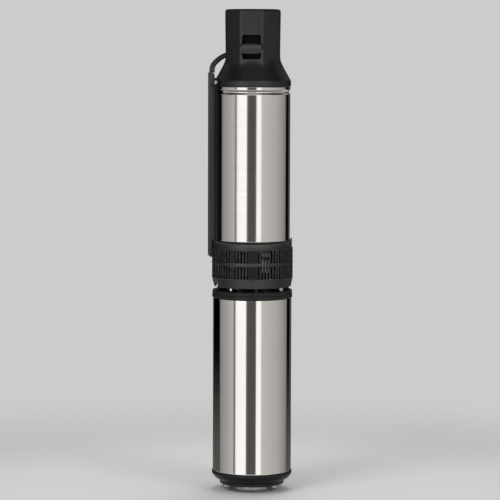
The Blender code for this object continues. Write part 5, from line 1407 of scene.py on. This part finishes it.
# Painted shade: the inside of the window and the bore take the darker nylon.
head.data.materials.append(PAINTED_SHADE_NYLON)
neck_turn = math.radians(NECK_TURN)
for face in head.data.polygons:  # inside the window and down the bore hardly any light arrives
    x, y, z = face.center / MM
    out = face.center.xy.length / MM
    across = x * math.cos(neck_turn) - y * math.sin(neck_turn)
    at_window = abs(z - WINDOW_MIDDLE) < WINDOW_HEIGHT / 2 + 1 and abs(across) < WINDOW_WIDTH / 2 + 0.5
    in_window = at_window and out < NECK_FACE - 2 and y < 0
    in_bore = out < 22.4 and z < THREAD_FOOT
    face.material_index = int(in_window or in_bore)
piece(as_object("rope_bar", rope_bar(), 60), ROPE_POLISHED, "pump", "black_plastic", "discharge_head")

# %% [markdown]
# ## The check valve
#
# Deep in the outlet sits the valve that keeps the well's water in the pipe: a pale poppet on its
# seat, a spring and a small black guide. The poppet lifts with the flow, so it rides on its own
# body; the spring is built once and stays with the pump.

# %% Poppet, guide and spring
poppet = turned("valve_poppet", [
    (0, 488.8), (10.0, 489.2, 1), (12.8, 491.8, 0.3), (17.0, 491.8, 0.4), (17.0, 493.4, 0.6),
    (8.5, 495.2, 0.6), (3.0, 495.2, 0.5), (3.0, 520.5, 0.8), (0, 521.4),
], 0.3, 72, closed=False)
piece(poppet, PALE_PLASTIC, "poppet", "pale_plastic", "check_valve_poppet")

guide = as_object("valve_cage", spun([(19.5, 511.5), (21.7, 511.5), (21.7, 516.5), (19.5, 516.5)], 0.4, 96))
for turn in range(3):
    spoke = bmesh.new()
    place = Matrix.Rotation(math.tau * turn / 3, 4, "Z") @ Matrix.Translation((0.013, 0, 0.514))
    bmesh.ops.create_cube(spoke, size=1, matrix=place @ Matrix.Diagonal((0.0154, 0.0024, 0.004, 1)))
    fuse(guide, spoke)
fuse(guide, spun([(3.35, 511.5), (7.95, 511.5), (7.95, 516.5), (3.35, 516.5)], 0.4, 64))
soften(guide, 0.25 * MM, 2, 40)
piece(guide, BLACK_NYLON, "pump", "black_plastic", "valve_guide")

SPRING_LOW, SPRING_HIGH, SPRING_TURNS, SPRING_RADIUS, WIRE_RADIUS = 496.0, 510.7, 4, 6.5, 0.5
PER_TURN = 28
spring_line = []
for i in range(SPRING_TURNS * PER_TURN + 1):
    turn = math.tau * i / PER_TURN
    z = SPRING_LOW + (SPRING_HIGH - SPRING_LOW) * i / (SPRING_TURNS * PER_TURN)
    spring_line.append(Vector((SPRING_RADIUS * math.cos(turn), SPRING_RADIUS * math.sin(turn), z)) * MM)
wire = circle(WIRE_RADIUS * MM, 10)
spring = as_object("valve_spring", sweep(spring_line, wire, Vector((1, 0, 0))), 50)
piece(spring, BRIGHT_STEEL, "pump", "bright_steel", "check_valve_spring")
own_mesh(spring)

# %% [markdown]
# ## The parts inside
#
# The solids that stay keep their shape and get the finish of what they are made of; the coupling's
# steel is painted nearly black, as painted shade. Most of them are hidden in the tubes; the coupling
# and the connector can be glimpsed through the slots.

# %% Finishes of the solids that stay
INSIDE = {
    "impeller": PALE_PLASTIC, "diffuser": BLACK_NYLON, "valve_seat": PALE_PLASTIC,
    "head_seal": BLACK_RUBBER, "upper_bearing_spider": BLACK_NYLON, "upper_bearing_bush": BLACK_RUBBER,
    "upper_bearing": BEARING_CARBON,
    "lower_bearing": BEARING_CARBON, "thrust_bearing": BEARING_CARBON, "thrust_disc": GROUND_STEEL,
    "motor_shaft": GROUND_STEEL, "pump_shaft": GROUND_STEEL, "shaft_coupling": PAINTED_SHADE_STEEL,
    "bearing_sleeve": GROUND_STEEL, "shaft_nut": BRIGHT_STEEL, "sand_slinger": BLACK_RUBBER,
    "shaft_seal": BLACK_RUBBER, "lead_connector": BLACK_RUBBER, "diaphragm": BLACK_RUBBER,
    "rotor_core": CORE_IRON, "stator_core": CORE_IRON, "lower_winding": COPPER, "upper_winding": COPPER,
}
shown = []
for name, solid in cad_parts.items():
    if solid.hide_render:
        continue
    kind = name if name in INSIDE else name.rsplit("_", 1)[0]
    solid.data.materials.clear()
    solid.data.materials.append(INSIDE[kind])
    solid.data.shade_smooth()
    solid.data.set_sharp_from_angle(angle=math.radians(32))
    shown.append(name)
print("solids still shown", len(shown))

# %% [markdown]
# ## Floor, surroundings and light
#
# Polished steel shows what stands round it, so the surroundings matter more than the lamps. A
# product photographer puts two tall white panels near the lens, with dark felt between
# them and at the sides. Here the world does this. Its brightness depends on the compass direction near
# the horizon, which is all that upright tubes can mirror. Above the panels hangs a soft box that draws
# the bright lines on rounded edges, then dark felt that keeps the cone black, and below is the floor.
# What the camera sees directly is a plain pale backdrop.

# %% The surroundings
BACKDROP = (0.604, 0.604, 0.604)
# compass azimuth from the front towards the right, and how bright the studio is there
PANELS = (
    (-180, 0.12), (-162, 0.12), (-152, 0), (-111, 0), (-108, 0.30), (-103, 0.38), (-94, 0.46),
    (-80, 0.54), (-58, 0.70), (-55, 0.28), (-50.5, 0.28), (-49.5, 1.25), (-44, 1.5), (-19, 1.55),
    (-16.5, 0.19), (-10, 0.12), (8, 0.12), (11, 0.22), (12, 1.5), (25, 1.5), (27, 0.85), (33, 0.76),
    (50, 0.71), (76, 0.62), (97, 0.49), (112, 0.37), (120, 0.30), (124, 0), (140, 0), (150, 0.10),
    (180, 0.12),
)
PANEL_STRENGTH = 2.0
# (from, to, brightness in front, brightness elsewhere): heights are the sine of the elevation
LAYERS = (
    (0.24, 0.32, 1.9, 0.36), (0.50, 0.60, 0.06, 0.05), (0.93, 0.97, 0.9, 0.9),
    (-0.22, -0.30, 1.1, 0.6), (-0.5, -0.65, 0.3, 0.3),
)
FELT_END = (-0.12, -0.18, 0.13)  # low down the floor lifts the black of the felt to this level
AMBIENT = 0.36


def panel_strip(tree, turn):
    share = sum_of(tree, "ADD", sum_of(tree, "DIVIDE", turn, math.tau), 0.5)
    strip = node(tree, "ShaderNodeValToRGB", links={"Fac": share})
    points = strip.color_ramp.elements
    while len(points) > 1:
        points.remove(points[-1])
    for number, (azimuth, bright) in enumerate(PANELS):
        point = points[0] if number == 0 else points.new((azimuth + 180) / 360)
        point.position = (azimuth + 180) / 360
        level = bright / PANEL_STRENGTH
        warm = 1.0 if bright > 1 else 0.965
        point.color = (level, level * (warm + 1) / 2, level * warm, 1)
    return strip.outputs["Color"]


def between_heights(tree, height, low, high):
    """0 below the first height and 1 beyond the second, which may lie lower."""
    made = node(tree, "ShaderNodeMapRange", {"interpolation_type": "SMOOTHSTEP"}, {"Value": height})
    made.inputs["From Min"].default_value, made.inputs["From Max"].default_value = low, high
    return made.outputs["Result"]


def build_world():
    world = bpy.data.worlds.new("studio")
    bpy.context.scene.world = world
    world.use_nodes = True
    tree = world.node_tree
    tree.nodes.clear()
    place = node(tree, "ShaderNodeTexCoord")
    parts = node(tree, "ShaderNodeSeparateXYZ", links={"Vector": place.outputs["Generated"]})
    height = parts.outputs["Z"]
    towards = sum_of(tree, "MULTIPLY", parts.outputs["Y"], -1.0)
    turn = sum_of(tree, "ARCTAN2", parts.outputs["X"], towards)
    front = between_heights(tree, sum_of(tree, "ABSOLUTE", turn, 0.0), math.radians(75), math.radians(45))
    seen_light = panel_strip(tree, turn)
    low, high, felt = FELT_END
    lift = sum_of(tree, "MULTIPLY", between_heights(tree, height, low, high), felt / PANEL_STRENGTH)
    lighten = {"data_type": "RGBA", "blend_type": "LIGHTEN"}
    lifted = node(tree, "ShaderNodeMix", lighten, {6: seen_light, 7: lift})
    lifted.inputs[0].default_value = 1.0
    seen_light = lifted.outputs[2]
    for low, high, bright_front, bright_side in LAYERS:
        level = node(tree, "ShaderNodeMapRange", links={"Value": front})
        level.inputs["To Min"].default_value = bright_side / PANEL_STRENGTH
        level.inputs["To Max"].default_value = bright_front / PANEL_STRENGTH
        layer = node(tree, "ShaderNodeMix", {"data_type": "RGBA"}, {
            0: between_heights(tree, height, low, high), 6: seen_light, 7: level.outputs["Result"]})
        seen_light = layer.outputs[2]
    seen = node(tree, "ShaderNodeBackground", Strength=1.0)
    seen.inputs["Color"].default_value = (*BACKDROP, 1)
    mirrored = node(tree, "ShaderNodeBackground", links={"Color": seen_light}, Strength=PANEL_STRENGTH)
    ambient = node(tree, "ShaderNodeBackground", Strength=AMBIENT)
    ambient.inputs["Color"].default_value = (1, 1, 1, 1)
    path = node(tree, "ShaderNodeLightPath")
    reflect = sum_of(tree, "MAXIMUM", path.outputs["Is Glossy Ray"], path.outputs["Is Transmission Ray"])
    first = node(tree, "ShaderNodeMixShader", links={
        0: reflect, 1: ambient.outputs[0], 2: mirrored.outputs[0]})
    last = node(tree, "ShaderNodeMixShader", links={
        0: path.outputs["Is Camera Ray"], 1: first.outputs[0], 2: seen.outputs[0]})
    out = node(tree, "ShaderNodeOutputWorld")
    tree.links.new(last.outputs[0], out.inputs["Surface"])


build_world()

# %% [markdown]
# The floor is a pale disc that takes the pump's shadow. It fades out with the distance, so no
# horizon shows behind the pump.

# %% The floor
FLOOR_RADIUS, FLOOR_CLEAR_FROM, FLOOR_CLEAR_TO = 1.4, 0.25, 0.9


def build_floor():
    floor = as_object("floor", rod(FLOOR_RADIUS, -4 * MM, -0.1 * MM, 96))
    paint = bpy.data.materials.new("floor_paint")
    paint.use_nodes = True
    tree = paint.node_tree
    shader = tree.nodes["Principled BSDF"]
    shader.inputs["Base Color"].default_value = (0.80, 0.80, 0.80, 1)
    shader.inputs["Roughness"].default_value = 0.9
    shader.inputs["Specular IOR Level"].default_value = 0.1
    place = node(tree, "ShaderNodeTexCoord")
    flat = node(tree, "ShaderNodeVectorMath", {"operation": "MULTIPLY"}, {0: place.outputs["Object"]})
    flat.inputs[1].default_value = (1, 1, 0)
    far = node(tree, "ShaderNodeVectorMath", {"operation": "LENGTH"}, {0: flat.outputs[0]})
    away = ramp(tree, far.outputs["Value"], FLOOR_CLEAR_FROM, FLOOR_CLEAR_TO)
    clear = node(tree, "ShaderNodeBsdfTransparent")
    mixed = node(tree, "ShaderNodeMixShader", links={0: away, 1: shader.outputs[0], 2: clear.outputs[0]})
    tree.links.new(mixed.outputs[0], tree.nodes["Material Output"].inputs["Surface"])
    floor.data.materials.append(paint)
    floor.visible_glossy = False


build_floor()


# %% Lamps
def lamp(name, azimuth, height, distance, width, power):
    data = bpy.data.lights.new(name, "AREA")
    data.shape, data.size, data.size_y, data.energy = "RECTANGLE", width, width * 1.4, power
    made = bpy.data.objects.new(name, data)
    made.location = at(azimuth, distance, height)
    aim = Vector((0, 0, 0.3)) - made.location
    made.rotation_euler = aim.to_track_quat("-Z", "Y").to_euler()
    made.visible_camera = False
    made.visible_glossy = False
    bpy.context.scene.collection.objects.link(made)


lamp("left_soft_box", -38, 1.5, 1.8, 1.0, 15.5)
lamp("right_soft_box", 42, 1.3, 1.9, 0.9, 9)
lamp("top_soft_box", 160, 2.2, 0.9, 1.2, 13.5)
